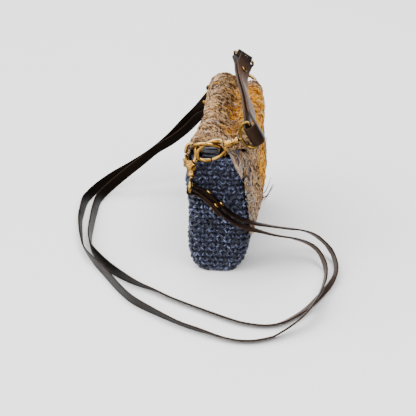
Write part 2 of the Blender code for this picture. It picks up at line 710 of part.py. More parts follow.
def eye_bar(name):
    """The middle of a clasp's eye bar and the way that the bar runs."""
    place = CLASPS[name]
    along = Vector(place["axis"]).normalized()
    middle = Vector(place["loop"]) + along * clasp_reach(place["sizes"])
    return middle, square_to(Vector(place["bar"]), along)


# Leather strips

def smooth(part):
    part = max(0.0, min(1.0, part))
    return part * part * (3.0 - 2.0 * part)


def distances(places):
    """How far along the line each place is."""
    made = [0.0]
    for a, b in zip(places, places[1:]):
        made.append(made[-1] + (b - a).length)
    return made


def faces_along(places, widths):
    """The way that the strip's face looks at each place: square to its run and its width."""
    made = []
    for i, across in enumerate(widths):
        run = places[min(i + 1, len(places) - 1)] - places[max(i - 1, 0)]
        made.append(across.cross(run).normalized())
    return made


def turn_round(bar, run, across, radius):
    """Rows of a strip that turns round a bar, from the side that its face looks away from to the other."""
    face = across.cross(run).normalized()
    rows = []
    for i in range(1, FOLD_STEPS):
        angle = math.pi * i / FOLD_STEPS
        out = face * -math.cos(angle) - run * math.sin(angle)
        rows.append((bar + out * radius, across, out))
    return rows


def folded_strip(places, widths, radius, half_gap, returns):
    """Rows of a strip whose main layer follows the places and whose ends turn round a bar and come back.

    The first and last places are on the bars. returns holds the length that comes back at each end,
    on the side that the face looks away from.
    """
    along = distances(places)
    total = along[-1]
    faces = faces_along(places, widths)

    def spread(at):
        near_bar = min(at, total - at)
        return half_gap + (radius - half_gap) * (1.0 - smooth(near_bar / (2.6 * radius)))

    def layer(first, last, side):
        return [(places[i] + faces[i] * side * spread(along[i]), widths[i], faces[i] * side)
                for i in range(len(places)) if first <= along[i] <= last]

    back_at_start = list(reversed(layer(0.0, returns[0], -1.0)))
    main = layer(0.0, total, 1.0)
    back_at_end = list(reversed(layer(total - returns[1], total, -1.0)))
    run = (places[1] - places[0]).normalized()
    start_turn = turn_round(places[0], run, widths[0], radius)
    run = (places[-2] - places[-1]).normalized()
    end_turn = [(place, widths[-1], out)
                for place, _, out in turn_round(places[-1], run, widths[-1] * -1.0, radius)]
    return back_at_start + start_turn + main + list(reversed(end_turn)) + back_at_end


def strip_mesh(name, rows, width, thickness, look):
    """A flat leather strip along rows of (place, width direction, face direction)."""
    points = []
    for place, across, out in rows:
        half = across.normalized() * width / 2
        lift = out.normalized() * thickness / 2
        points += [place - half - lift, place - half + lift, place + half + lift, place + half - lift]
    return add_mesh(name, points, rings_to_faces(len(rows), 4), look)


def rolled(rows):
    """Places and width directions along a table of (x, y, z, roll). Low rows rest on the floor."""
    places, widths = [], []
    for i, row in enumerate(rows):
        ahead = Vector(rows[min(i + 1, len(rows) - 1)][:3])
        behind = Vector(rows[max(i - 1, 0)][:3])
        run = (ahead - behind).normalized()
        level = run.cross(Vector((0.0, 0.0, 1.0))).normalized()
        up = level.cross(run).normalized()
        roll = math.radians(row[3])
        across = level * math.cos(roll) + up * math.sin(roll)
        out = across.cross(run)
        lift = abs(across.z) * STRAP_WIDTH / 2 + abs(out.z) * STRAP_THICKNESS / 2
        places.append(Vector((row[0], row[1], max(row[2], lift))))
        widths.append(across)
    return places, widths


def point_along(places, at):
    """The place, and its index, at a length along the line. A negative length counts from the end."""
    along = distances(places)
    if at < 0.0:
        at += along[-1]
    for i in range(1, len(places)):
        if along[i] >= at:
            part = (at - along[i - 1]) / (along[i] - along[i - 1])
            return places[i - 1].lerp(places[i], part), i
    return places[-1], len(places) - 1


def make_rivet(name, spot, out, grip, cut):
    """A domed rivet through a fold of leather, which gets the hole for it."""
    out = Vector(out).normalized()
    top = grip / 2 + 2 * GAP
    profile = [(-top - 0.9, RIVET_HEAD * 0.5), (-top, RIVET_HEAD * 0.75), (-top, RIVET_POST),
               (top, RIVET_POST), (top, RIVET_HEAD), (top + 0.7, RIVET_HEAD * 0.88),
               (top + 1.3, RIVET_HEAD * 0.45)]
    points, faces = turned_solid([(x, radius, radius) for x, radius in profile], RIVET_SIDES)
    made = add_mesh(name, points, faces, BRASS)
    hole_points, hole_faces = turned_solid([(-grip, RIVET_HOLE, RIVET_HOLE), (grip, RIVET_HOLE, RIVET_HOLE)],
                                           RIVET_SIDES)
    hole = add_mesh(name + "_hole", hole_points, hole_faces, BRASS)
    for each in (made, hole):
        each.rotation_mode = "QUATERNION"
        each.rotation_quaternion = Vector((1.0, 0.0, 0.0)).rotation_difference(out)
        each.location = Vector(spot) * MM
    boolean(cut, hole, "DIFFERENCE")


def make_crossbody_strap():
    """Two strips side by side, each folded round both clasps' eyes and riveted."""
    near_bar, near_run = eye_bar("near_strap")
    far_bar, far_run = eye_bar("far_strap")
    made = []
    for name, table, side in (("strip_one", STRIP_ONE, -0.5), ("strip_two", STRIP_TWO, 0.5)):
        near = near_bar + near_run * STRIP_PITCH * side
        far = far_bar + far_run * STRIP_PITCH * side
        rows = [(*near, 0.0)] + table + [(*far, 90.0)]
        places, widths = rolled(curve_through(rows, STRIP_STEP))
        places[0], places[-1] = near, far
        widths[0], widths[-1] = near_run, far_run
        for k in range(1, END_ROWS):
            part = smooth(k / END_ROWS)
            widths[k] = near_run.lerp(widths[k], part).normalized()
            widths[-1 - k] = far_run.lerp(widths[-1 - k], part).normalized()
        half_gap = STRAP_THICKNESS / 2 + GAP / 2
        strip = strip_mesh(name, folded_strip(places, widths, STRAP_FOLD, half_gap,
                                              (STRAP_RETURN, STRAP_FAR_RETURN)),
                           STRAP_WIDTH, STRAP_THICKNESS, BROWN_LEATHER)
        made.append((strip, places, widths))
    for number, (which, at) in enumerate(STRIP_RIVETS):
        strip, places, widths = made[which]
        spot, i = point_along(places, at)
        out = faces_along(places, widths)[i]
        make_rivet("strap_rivet_%d" % (number + 1), spot, out, 2 * STRAP_THICKNESS + GAP, strip)


def make_handle():
    """One wide strip: folded round the near eye, doubled along the top and folded round the far eye."""
    far_bar, far_run = eye_bar("far_handle")
    rows = [(*HANDLE_NEAR_FOLD, HANDLE_FOLD)] + HANDLE_LINE + [(*far_bar, *far_run, HANDLE_FAR_FOLD)]
    rows = curve_through(rows, HANDLE_STEP)
    places = [Vector(row[:3]) for row in rows]
    widths = [Vector(row[3:6]).normalized() for row in rows]
    along = distances(places)
    total = along[-1]
    # The faces look down and back, so the layer that comes back lies on top
    widths = [width * -1.0 for width in widths]
    faces = faces_along(places, widths)

    def half_gap(i):
        near_bar_by = min(along[i], total - along[i])
        fold = HANDLE_FOLD if along[i] < total / 2 else HANDLE_FAR_FOLD
        return rows[i][6] + (fold - rows[i][6]) * (1.0 - smooth(near_bar_by / (2.2 * fold)))

    def layer(first, last, side):
        return [(places[i] + faces[i] * side * half_gap(i), widths[i], faces[i] * side)
                for i in range(len(places)) if first <= along[i] <= last]

    path = []
    for x, y, z, wx, wy, wz in reversed(HANDLE_END):
        width = Vector((wx, wy, wz)).normalized() * -1.0
        path.append((Vector((x, y, z)), width, None))
    path += list(reversed(layer(0.0, HANDLE_DOUBLED, -1.0)))
    path += turn_round(places[0], (places[1] - places[0]).normalized(), widths[0], HANDLE_FOLD)
    path += layer(0.0, total, 1.0)
    end_turn = turn_round(far_bar, (places[-2] - places[-1]).normalized(), widths[-1] * -1.0, HANDLE_FAR_FOLD)
    path += [(place, widths[-1], out) for place, _, out in reversed(end_turn)]
    path += list(reversed(layer(total - HANDLE_RETURN, total, -1.0)))
    for i in range(len(HANDLE_END)):
        run = path[i + 1][0] - path[i][0]
        path[i] = (path[i][0], path[i][1], path[i][1].cross(run).normalized())
    handle = strip_mesh("handle", path, HANDLE_WIDTH, HANDLE_THICKNESS, BROWN_LEATHER)
    for number, at in enumerate(HANDLE_RIVETS):
        spot, i = point_along(places, at)
        grip = 2 * half_gap(i) + HANDLE_THICKNESS + GAP
        make_rivet("handle_rivet_%d" % (number + 1), spot, faces[i] * -1.0, grip, handle)


def build():
    clear_scene()
    make_pouch()
    make_flap()
    make_ring("near_ring", NEAR_RING_BAR, NEAR_RING_TILT)
    make_ring("far_ring", FAR_RING_BAR, FAR_RING_TILT)
    make_tab("near_tab", NEAR_RING_BAR, NEAR_TAB_Y)
    make_tab("far_tab", FAR_RING_BAR, FAR_TAB_Y)
    for name, place in CLASPS.items():
        make_clasp(name, place)
    make_crossbody_strap()
    make_handle()


build()
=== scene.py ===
import math

import bpy
import numpy as np
from mathutils import Matrix, Vector


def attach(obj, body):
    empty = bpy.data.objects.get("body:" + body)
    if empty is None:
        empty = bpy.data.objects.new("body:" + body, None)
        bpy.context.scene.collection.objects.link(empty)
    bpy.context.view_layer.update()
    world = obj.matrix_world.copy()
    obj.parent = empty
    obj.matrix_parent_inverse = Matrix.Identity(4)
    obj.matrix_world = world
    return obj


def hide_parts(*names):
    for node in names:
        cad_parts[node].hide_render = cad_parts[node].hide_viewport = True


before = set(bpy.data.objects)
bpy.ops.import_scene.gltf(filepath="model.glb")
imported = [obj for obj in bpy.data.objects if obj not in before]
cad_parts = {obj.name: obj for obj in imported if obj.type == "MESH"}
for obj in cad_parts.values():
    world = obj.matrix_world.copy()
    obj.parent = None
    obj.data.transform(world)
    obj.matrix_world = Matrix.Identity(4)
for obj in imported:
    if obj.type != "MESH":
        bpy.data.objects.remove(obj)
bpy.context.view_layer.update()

# The crochet crossbody bag's looks: worked yarn on the pouch, fuzzy yarn on the flap, leather and
# polished fittings. Sizes are in millimetres as in the part's source, and MM turns them into metres.
MM = 0.001
BODY = "bag"
RANDOM = np.random.default_rng(11)


# Camera, light and floor

TARGET = Vector((-110.0, 10.0, 69.0)) * MM
AZIMUTH = math.radians(-84.0)
ELEVATION = math.radians(22.0)
DISTANCE = 1.2
SENSOR = 36.0
FOCAL_PIXELS = 1200.0
FRAME_PIXELS = 416.0
LENS = FOCAL_PIXELS / FRAME_PIXELS * SENSOR
LIGHT_AIM = Vector((0.0, 0.0, 0.08))
LIGHTS = [
    # (name, place, size, power)
    ("key", (-1.1, -1.0, 1.7), 1.1, 26.0),
    ("left", (-0.9, 1.3, 1.1), 0.9, 12.0),
    ("back", (1.2, 0.4, 1.3), 0.9, 10.0),
]
BRIGHT_SIDE = Vector((-0.35, 0.45, 0.82))
WORLD_STRENGTH = 3.4
WORLD_BANDS = [
    # (how far toward the bright side, colour)
    (0.40, (0.03, 0.03, 0.04)),
    (0.62, (1.2, 1.2, 1.2)),
    (0.74, (1.2, 1.2, 1.2)),
    (0.80, (0.22, 0.22, 0.22)),
    (0.88, (0.22, 0.22, 0.22)),
    (0.94, (1.1, 1.1, 1.1)),
]
FLOOR_HALF = 4.0
FLOOR_Z = -0.0004


def add_camera():
    data = bpy.data.cameras.new("camera")
    data.sensor_width = SENSOR
    data.lens = LENS
    data.clip_start = 0.05
    data.clip_end = 20.0
    camera = bpy.data.objects.new("camera", data)
    bpy.context.collection.objects.link(camera)
    back = Vector((math.sin(AZIMUTH) * math.cos(ELEVATION), -math.cos(AZIMUTH) * math.cos(ELEVATION),
                   math.sin(ELEVATION)))
    camera.location = TARGET + back * DISTANCE
    camera.rotation_mode = "QUATERNION"
    camera.rotation_quaternion = (-back).to_track_quat("-Z", "Y")
    bpy.context.scene.camera = camera


def add_light(name, place, size, power):
    data = bpy.data.lights.new(name, "AREA")
    data.shape = "SQUARE"
    data.size = size
    data.energy = power
    light = bpy.data.objects.new(name, data)
    bpy.context.collection.objects.link(light)
    light.location = place
    light.rotation_mode = "QUATERNION"
    light.rotation_quaternion = (LIGHT_AIM - Vector(place)).to_track_quat("-Z", "Y")


def add_stage():
    world = bpy.data.worlds.new("world")
    bpy.context.scene.world = world
    world.use_nodes = True
    nodes, links = world.node_tree.nodes, world.node_tree.links
    # Brighter from above on the left, so that the fittings show light and dark
    toward = nodes.new("ShaderNodeVectorMath")
    toward.operation = "DOT_PRODUCT"
    toward.inputs[1].default_value = BRIGHT_SIDE.normalized()
    links.new(nodes.new("ShaderNodeTexCoord").outputs["Generated"], toward.inputs[0])
    ramp = nodes.new("ShaderNodeValToRGB")
    bands = ramp.color_ramp.elements
    for band, (at, colour) in zip(bands, WORLD_BANDS[:2]):
        band.position = at
        band.color = (*colour, 1.0)
    for at, colour in WORLD_BANDS[2:]:
        bands.new(at).color = (*colour, 1.0)
    links.new(toward.outputs["Value"], ramp.inputs["Fac"])
    links.new(ramp.outputs["Color"], nodes["Background"].inputs["Color"])
    nodes["Background"].inputs["Strength"].default_value = WORLD_STRENGTH
    for light in LIGHTS:
        add_light(*light)
    mesh = bpy.data.meshes.new("floor")
    corners = [(-FLOOR_HALF, -FLOOR_HALF), (FLOOR_HALF, -FLOOR_HALF),
               (FLOOR_HALF, FLOOR_HALF), (-FLOOR_HALF, FLOOR_HALF)]
    mesh.from_pydata([(x, y, FLOOR_Z) for x, y in corners], [], [(0, 1, 2, 3)])
    floor = bpy.data.objects.new("floor", mesh)
    bpy.context.collection.objects.link(floor)
    look = bpy.data.materials.new("floor")
    look.use_nodes = True
    shader = look.node_tree.nodes["Principled BSDF"]
    shader.inputs["Base Color"].default_value = (1.0, 1.0, 1.0, 1.0)
    shader.inputs["Roughness"].default_value = 0.9
    shader.inputs["Specular IOR Level"].default_value = 0.1
    mesh.materials.append(look)


# Materials

def linear(code):
    """A hex colour as linear RGB."""
    channels = []
    for i in (0, 2, 4):
        value = int(code[i:i + 2], 16) / 255.0
        channels.append(value / 12.92 if value <= 0.04045 else ((value + 0.055) / 1.055) ** 2.4)
    return tuple(channels)


class Look:
    """A procedural material, built node by node."""

    def __init__(self, name):
        self.material = bpy.data.materials.new(name)
        self.material.use_nodes = True
        self.nodes = self.material.node_tree.nodes
        self.links = self.material.node_tree.links
        self.shader = self.nodes["Principled BSDF"]

    def set(self, **values):
        for key, value in values.items():
            socket = self.shader.inputs[key.replace("_", " ")]
            socket.default_value = (*value, 1.0) if isinstance(value, tuple) else value
        return self

    def node(self, kind, **values):
        made = self.nodes.new(kind)
        for key, value in values.items():
            setattr(made, key, value)
        return made

    def put(self, source, node, socket):
        self.links.new(source, node.inputs[socket])

    def attribute(self, name, output="Fac"):
        return self.node("ShaderNodeAttribute", attribute_name=name).outputs[output]

    def place(self):
        return self.node("ShaderNodeTexCoord").outputs["Object"]

    def stretch(self, source, scale):
        made = self.node("ShaderNodeMapping")
        made.inputs["Scale"].default_value = scale
        self.put(source, made, "Vector")
        return made.outputs["Vector"]

    def noise(self, source, scale, detail=4.0, roughness=0.55):
        made = self.node("ShaderNodeTexNoise")
        made.inputs["Scale"].default_value = scale
        made.inputs["Detail"].default_value = detail
        made.inputs["Roughness"].default_value = roughness
        self.put(source, made, "Vector")
        return made.outputs["Fac"]

    def ramp(self, source, stops):
        made = self.node("ShaderNodeValToRGB")
        ramp = made.color_ramp
        while len(ramp.elements) < len(stops):
            ramp.elements.new(0.5)
        for element, (at, colour) in zip(ramp.elements, stops):
            element.position = at
            colour = colour if isinstance(colour, tuple) else (colour,) * 3
            element.color = (*colour, 1.0)
        self.put(source, made, "Fac")
        return made.outputs["Color"]

    def mix(self, factor, a, b, mode="MIX"):
        made = self.node("ShaderNodeMix", data_type="RGBA", blend_type=mode)
        for value, socket in ((factor, 0), (a, 6), (b, 7)):
            if isinstance(value, float):
                made.inputs[socket].default_value = value
            elif isinstance(value, tuple):
                made.inputs[socket].default_value = (*value, 1.0)
            else:
                self.links.new(value, made.inputs[socket])
        return made.outputs[2]

    def math(self, mode, a, b):
        made = self.node("ShaderNodeMath", operation=mode)
        for value, socket in ((a, 0), (b, 1)):
            if isinstance(value, float):
                made.inputs[socket].default_value = value
            else:
                self.links.new(value, made.inputs[socket])
        return made.outputs[0]

    def colour(self, source):
        self.put(source, self.shader, "Base Color")

    def bump(self, height, strength, distance, under=None):
        made = self.node("ShaderNodeBump")
        made.inputs["Strength"].default_value = strength
        made.inputs["Distance"].default_value = distance
        self.put(height, made, "Height")
        if under is not None:
            self.put(under, made, "Normal")
        self.put(made.outputs["Normal"], self.shader, "Normal")
        return made.outputs["Normal"]


def brass_look(name, dark, middle, light):
    look = Look(name).set(Metallic=1.0)
    place = look.place()
    tarnish = look.noise(place, 150.0, 5.0)
    base = look.ramp(tarnish, [(0.30, linear(dark)), (0.50, linear(middle)), (0.72, linear(light))])
    # Painted shade: the colour darkens toward each wire's silhouette, where it turns away from the camera
    facing = look.node("ShaderNodeLayerWeight")
    facing.inputs["Blend"].default_value = 0.42
    edge_wear_and_shade = look.ramp(facing.outputs["Facing"], [(0.20, 0.0), (0.60, 1.0)])
    # Painted shade on the undersides and a painted highlight on the tops, standing in for dark surroundings
    # reflected below and a bright ceiling above
    normal = look.node("ShaderNodeSeparateXYZ")
    look.put(look.node("ShaderNodeNewGeometry").outputs["Normal"], normal, "Vector")
    base = look.mix(look.ramp(normal.outputs["Z"], [(0.02, 0.70), (0.50, 0.0)]), base, linear("2c1c08"))
    base = look.mix(look.ramp(normal.outputs["Z"], [(0.72, 0.0), (0.94, 0.85)]), base, linear("fbe4a8"))
    look.colour(look.mix(edge_wear_and_shade, base, linear("2c1c08")))
    look.set(Roughness=0.15)
    return look.material


def leather_look(name, face, light, edge, gloss, shine, tint, painted_sheen="43332a"):
    """Grained leather, paler along its cut edges, where edge is 1, and browner where the attribute for its
    painted sheen is 1.
    """
    look = Look(name).set(Roughness=gloss, Specular_IOR_Level=shine, Specular_Tint=linear(tint))
    place = look.place()
    patches = look.noise(place, 26.0, 5.0, 0.6)
    grain = look.noise(place, 900.0, 4.0, 0.6)
    base = look.ramp(patches, [(0.32, linear(face)), (0.72, linear(light))])
    base = look.mix(look.ramp(grain, [(0.35, 0.0), (0.7, 0.35)]), base, linear(light))
    base = look.mix(look.attribute("painted_sheen"), base, linear(painted_sheen))
    scuffed = look.ramp(look.noise(place, 160.0), [(0.2, 0.45), (0.7, 1.0)])
    edge_wear_and_shade = look.math("MULTIPLY", look.attribute("edge"), scuffed)
    look.colour(look.mix(edge_wear_and_shade, base, linear(edge)))
    pores = look.noise(place, 620.0, 3.0, 0.7)
    look.bump(pores, 0.28, 0.0004, look.bump(look.noise(place, 150.0, 3.0), 0.25, 0.0006))
    return look.material


def yarn_look():
    """Dark tweed yarn with painted highlights, pale streaks along each leg whose strength is one value a
    stitch. yarn holds (way along, way round, seed) in millimetres.
    """
    look = Look("navy_tweed_yarn").set(Roughness=0.36, Specular_IOR_Level=0.35)
    yarn = look.attribute("yarn", "Vector")
    highlight_streaks = look.noise(look.stretch(yarn, (0.30, 1.0, 1.0)), 1.0, 2.0, 0.5)
    fine = look.noise(look.stretch(yarn, (0.8, 2.4, 1.0)), 1.0, 4.0, 0.7)
    base = look.ramp(fine, [(0.30, linear("020204")), (0.52, linear("0a0c18")), (0.72, linear("1a2040"))])
    # Painted highlight: pale streaks along the yarn, stronger on some stitches than others
    painted_highlight = look.math("MULTIPLY", look.ramp(highlight_streaks, [(0.54, 0.0), (0.68, 1.0)]), look.attribute("highlight_strength"))
    look.colour(look.mix(painted_highlight, base, linear("8c96c4")))
    plies = look.node("ShaderNodeTexWave", wave_type="BANDS", bands_direction="DIAGONAL")
    plies.inputs["Scale"].default_value = 0.42
    plies.inputs["Distortion"].default_value = 2.5
    look.put(look.stretch(yarn, (1.0, 1.6, 1.0)), plies, "Vector")
    look.bump(fine, 0.35, 0.0005, look.bump(plies.outputs["Fac"], 0.45, 0.0007))
    return look.material


def fuzz_look(name):
    """Brushed yarn that takes its colour from the strand's own."""
    look = Look(name).set(Roughness=0.8, Specular_IOR_Level=0.15)
    place = look.place()
    speckle = look.ramp(look.noise(place, 1400.0, 2.0), [(0.3, 0.72), (0.7, 1.12)])
    look.colour(look.mix(1.0, look.attribute("tint", "Color"), speckle, "MULTIPLY"))
    look.bump(look.noise(place, 900.0, 3.0), 0.5, 0.0006)
    return look.material


# Meshes

def piece(name, points, faces, look, replaced=(), attributes=None):
    """A piece of the bag from points in millimetres, which rides on the bag."""
    mesh = bpy.data.meshes.new(name)
    mesh.from_pydata([Vector(point) * MM for point in points], [], faces)
    return finished(name, mesh, look, replaced, attributes)


def finished(name, mesh, look, replaced, attributes):
    for key, values in (attributes or {}).items():
        values = np.asarray(values, np.float32)
        if values.ndim == 1:
            layer = mesh.attributes.new(key, "FLOAT", "POINT")
            layer.data.foreach_set("value", values)
        elif values.shape[1] == 4:
            layer = mesh.attributes.new(key, "FLOAT_COLOR", "POINT")
            layer.data.foreach_set("color", values.ravel())
        else:
            layer = mesh.attributes.new(key, "FLOAT_VECTOR", "POINT")
            layer.data.foreach_set("vector", values.ravel())
    mesh.update()
    mesh.shade_smooth()
    mesh.materials.append(look)
    made = bpy.data.objects.new(name, mesh)
    bpy.context.collection.objects.link(made)
    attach(made, BODY)
    if replaced:
        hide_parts(*replaced)
    return made


def fast_mesh(name, points, loops, starts):
    """A mesh from arrays: points in millimetres, corner indices and the start of each face."""
    mesh = bpy.data.meshes.new(name)
    mesh.vertices.add(len(points))
    mesh.vertices.foreach_set("co", (points * MM).astype(np.float32).ravel())
    mesh.loops.add(len(loops))
    mesh.loops.foreach_set("vertex_index", loops.astype(np.int32))
    mesh.polygons.add(len(starts))
    mesh.polygons.foreach_set("loop_start", starts.astype(np.int32))
    mesh.update(calc_edges=True)
    return mesh


def unit(vectors):
    return vectors / np.maximum(np.linalg.norm(vectors, axis=-1, keepdims=True), 1e-9)


def many_tubes(lines, radii, normals, sides):
    """Points, corners and face starts of many capped tubes. lines is (count, length, 3)."""
    count, length = lines.shape[:2]
    run = unit(np.gradient(lines, axis=1))
    side = unit(np.cross(run, normals))
    up = np.cross(side, run)
    angle = 2.0 * math.pi * np.arange(sides) / sides
    ring = (side[:, :, None] * np.cos(angle)[None, None, :, None]
            + up[:, :, None] * np.sin(angle)[None, None, :, None])
    points = lines[:, :, None] + ring * radii[:, :, None, None]
    index = np.arange(count * length * sides).reshape(count, length, sides)
    after = np.roll(index, -1, axis=2)
    quads = np.stack([index[:, :-1], after[:, :-1], after[:, 1:], index[:, 1:]], axis=-1).reshape(-1, 4)
    first = index[:, 0, ::-1].reshape(-1, sides)
    last = index[:, -1].reshape(-1, sides)
    loops = np.concatenate([quads.ravel(), first.ravel(), last.ravel()])
    starts = np.concatenate([np.arange(len(quads)) * 4,
                             len(quads) * 4 + np.arange(2 * count) * sides])
    return points.reshape(-1, 3), loops, starts


def tube_piece(name, lines, radii, normals, sides, look, tint=None, extra=None):
    """One piece of many tubes, each with its own tint."""
    points, loops, starts = many_tubes(lines, radii, normals, sides)
    mesh = fast_mesh(name, points, loops, starts)
    attributes = dict(extra or {})
    if tint is not None:
        each = lines.shape[1] * sides
        shown = np.repeat(np.concatenate([tint, np.ones((len(tint), 1))], axis=1), each, axis=0)
        attributes["tint"] = shown
    return finished(name, mesh, look, (), attributes)


# Shapes shared with the part's source

def curve_through(rows, step):
    """Rows along a smooth curve through the given rows, about step apart by their first three values."""
    rows = [tuple(float(value) for value in row) for row in rows]
    first = tuple(2 * a - b for a, b in zip(rows[0], rows[1]))
    last = tuple(2 * a - b for a, b in zip(rows[-1], rows[-2]))
    padded = [first] + rows + [last]
    made = []
    for i in range(1, len(padded) - 2):
        before, start, end, after = padded[i - 1:i + 3]
        length = (Vector(end[:3]) - Vector(start[:3])).length
        count = max(1, round(length / step))
        for k in range(count):
            t = k / count
            made.append(tuple(
                0.5 * (2 * q + (r - p) * t + (2 * p - 5 * q + 4 * r - s) * t * t
                       + (3 * q - p - 3 * r + s) * t ** 3)
                for p, q, r, s in zip(before, start, end, after)))
    made.append(rows[-1])
    return made


def run_at(rows, i):
    """From the row before row i to the row after it, by their first three values."""
    return Vector(rows[min(i + 1, len(rows) - 1)][:3]) - Vector(rows[max(i - 1, 0)][:3])


def lengths_along(line):
    return np.concatenate([[0.0], np.cumsum(np.linalg.norm(np.diff(line, axis=0), axis=1))])


def rings_to_faces(ring_count, ring_size, closed=False):
    faces = []
    last = ring_count if closed else ring_count - 1
    for ring in range(last):
        here = ring * ring_size
        there = ((ring + 1) % ring_count) * ring_size
        for i in range(ring_size):
            j = (i + 1) % ring_size
            faces.append((here + i, here + j, there + j, there + i))
    if not closed:
        faces.append(tuple(reversed(range(ring_size))))
        faces.append(tuple(range((ring_count - 1) * ring_size, ring_count * ring_size)))
    return faces


def tube(line, radius, side, sides=20, closed=False, radii=None):
    """Points and faces of a round wire along a flat line. side is square to the line's plane."""
    side = Vector(side).normalized()
    line = [Vector(point) for point in line]
    count = len(line)
    points = []
    for i, point in enumerate(line):
        before = line[(i - 1) % count] if closed or i else line[0]
        after = line[(i + 1) % count] if closed or i < count - 1 else line[-1]
        run = (after - before).normalized()
        out = side.cross(run).normalized()
        thick = radii[i] if radii else radius
        for k in range(sides):
            angle = 2 * math.pi * k / sides
            points.append(point + (side * math.cos(angle) - out * math.sin(angle)) * thick)
    return points, rings_to_faces(count, sides, closed=closed)


def turned_solid(profile, sides=32):
    """Points and faces round x from rows of (x, radius) or (x, half width, half depth)."""
    points = []
    for row in profile:
        x, wide, deep = row[0], row[1], row[-1]
        for k in range(sides):
            angle = 2 * math.pi * k / sides
            points.append((x, wide * math.cos(angle), deep * math.sin(angle)))
    return points, rings_to_faces(len(profile), sides)


def joined(parts):
    """One list of points and faces from several."""
    points, faces = [], []
    for more_points, more_faces in parts:
        start = len(points)
        points += [Vector(point) for point in more_points]
        faces += [tuple(start + i for i in face) for face in more_faces]
    return points, faces


def moved(points, matrix):
    return [matrix @ Vector(point) for point in points]


# Rings, tabs and clasps

RING_WIRE = 2.0
RING_HALF = 15.0
RING_LEG = 5.0
RING_ARC = 15.0
RINGS = {
    "near": {"bar": (-112.5, 11.0, 130.5), "tilt": 38.0, "tab_y": 7.1},
    "far": {"bar": (112.5, -6.5, 130.5), "tilt": 30.0, "tab_y": -2.5},
}
GUSSET_TOP = 121.5
GUSSET_INSIDE = 105.0
TAB_WIDTH = 16.2
TAB_LEATHER = 1.7
TAB_DEPTH = 24.0
GAP = 0.35
HANDLE_CLASP = {"loop": 34.0, "width": 21.0, "wire": 2.0, "swell": 0.35, "cup": 4.1, "neck": 5.2,
                "barrel": 6.4, "barrel_r": 3.7, "eye_half": 13.0, "eye_leg": 4.4, "eye_arc": 8.6,
                "eye_wire": 1.5, "gate_end": 104.0, "squareness": 1.0}
STRAP_CLASP = {"loop": 22.0, "width": 13.6, "wire": 1.7, "swell": 0.6, "cup": 5.4, "neck": 6.6, "barrel": 4.6,
               "barrel_r": 3.5, "eye_half": 14.2, "eye_leg": 4.0, "eye_arc": 7.2, "eye_wire": 1.7,
               "gate_end": 88.0, "squareness": 0.8}
GATE_PIVOT = 24.0
GATE_OVERLAP = 3.0
KNUCKLE = 2.3
LOOP_STEPS = 72
GATE_STEPS = 28
LEVER_LINE = [(0.0, 0.0), (-0.7, -1.5), (-1.5, -3.2), (-2.4, -4.4), (-2.8, -4.8)]
LEVER_RADII = [1.3, 1.2, 1.05, 1.1, 0.6]
UP = (0.0, 0.0, 1.0)
CLASPS = {
    "near_handle": {"loop": (-121.9, 5.0, 133.8), "axis": (0.052, -0.91, 0.41), "faces": (-1.0, 0.0, 0.0),
                    "bar": (0.0, -0.415, -0.91), "sizes": HANDLE_CLASP},
    "near_strap": {"loop": (-117.4, 25.9, 128.7), "axis": (-0.26, -0.04, -0.965), "faces": (-1.0, 0.0, 0.0),
                   "bar": (-1.0, 0.0, 0.0), "sizes": STRAP_CLASP},
    "far_handle": {"loop": (134.2, -3.4, 133.0), "axis": (-0.61, -0.107, 0.785), "faces": (0.0, 1.0, 0.0),
                   "bar": (-0.10, -0.72, -0.69), "sizes": HANDLE_CLASP},
    "far_strap": {"loop": (123.5, 10.5, 132.4), "axis": (0.626, 0.461, -0.629), "faces": (0.866, 0.0, 0.5),
                  "bar": (0.0, 0.79, 0.61), "sizes": STRAP_CLASP},
}


def ring_outline(half, leg, arc, corner=2.6, bend_steps=10, arc_steps=64):
    """Middle line of a D: a bar across, two legs and a half ellipse, from the bar's middle on round."""
    points = [(0.0, (half - corner) * i / 6) for i in range(7)]
    for i in range(1, bend_steps + 1):
        angle = math.radians(90.0 * i / (bend_steps + 1))
        points.append((corner * (1 - math.cos(angle)), half - corner + corner * math.sin(angle)))
    points.append((corner, half))
    for i in range(arc_steps + 1):
        angle = math.radians(90.0 - 180.0 * i / arc_steps)
        points.append((leg + arc * math.cos(angle), half * math.sin(angle)))
    points.append((corner, -half))
    for i in range(bend_steps, 0, -1):
        angle = math.radians(90.0 * i / (bend_steps + 1))
        points.append((corner * (1 - math.cos(angle)), -(half - corner) - corner * math.sin(angle)))
    points += [(0.0, -(half - corner) * (6 - i) / 6) for i in range(6)]
    return points


def add_ring(name, ring, brass):
    tilt = math.radians(ring["tilt"])
    outward = -1.0 if ring["bar"][0] < 0.0 else 1.0
    out = Vector((outward * math.cos(tilt), 0.0, math.sin(tilt)))
    bar = Vector(ring["bar"])
    line = [bar + out * along + Vector((0.0, across, 0.0))
            for along, across in ring_outline(RING_HALF, RING_LEG, RING_ARC)]
    points, faces = tube(line, RING_WIRE, out.cross(Vector((0.0, outward, 0.0))), closed=True)
    piece(name + "_ring_piece", points, faces, brass, [name + "_ring"])


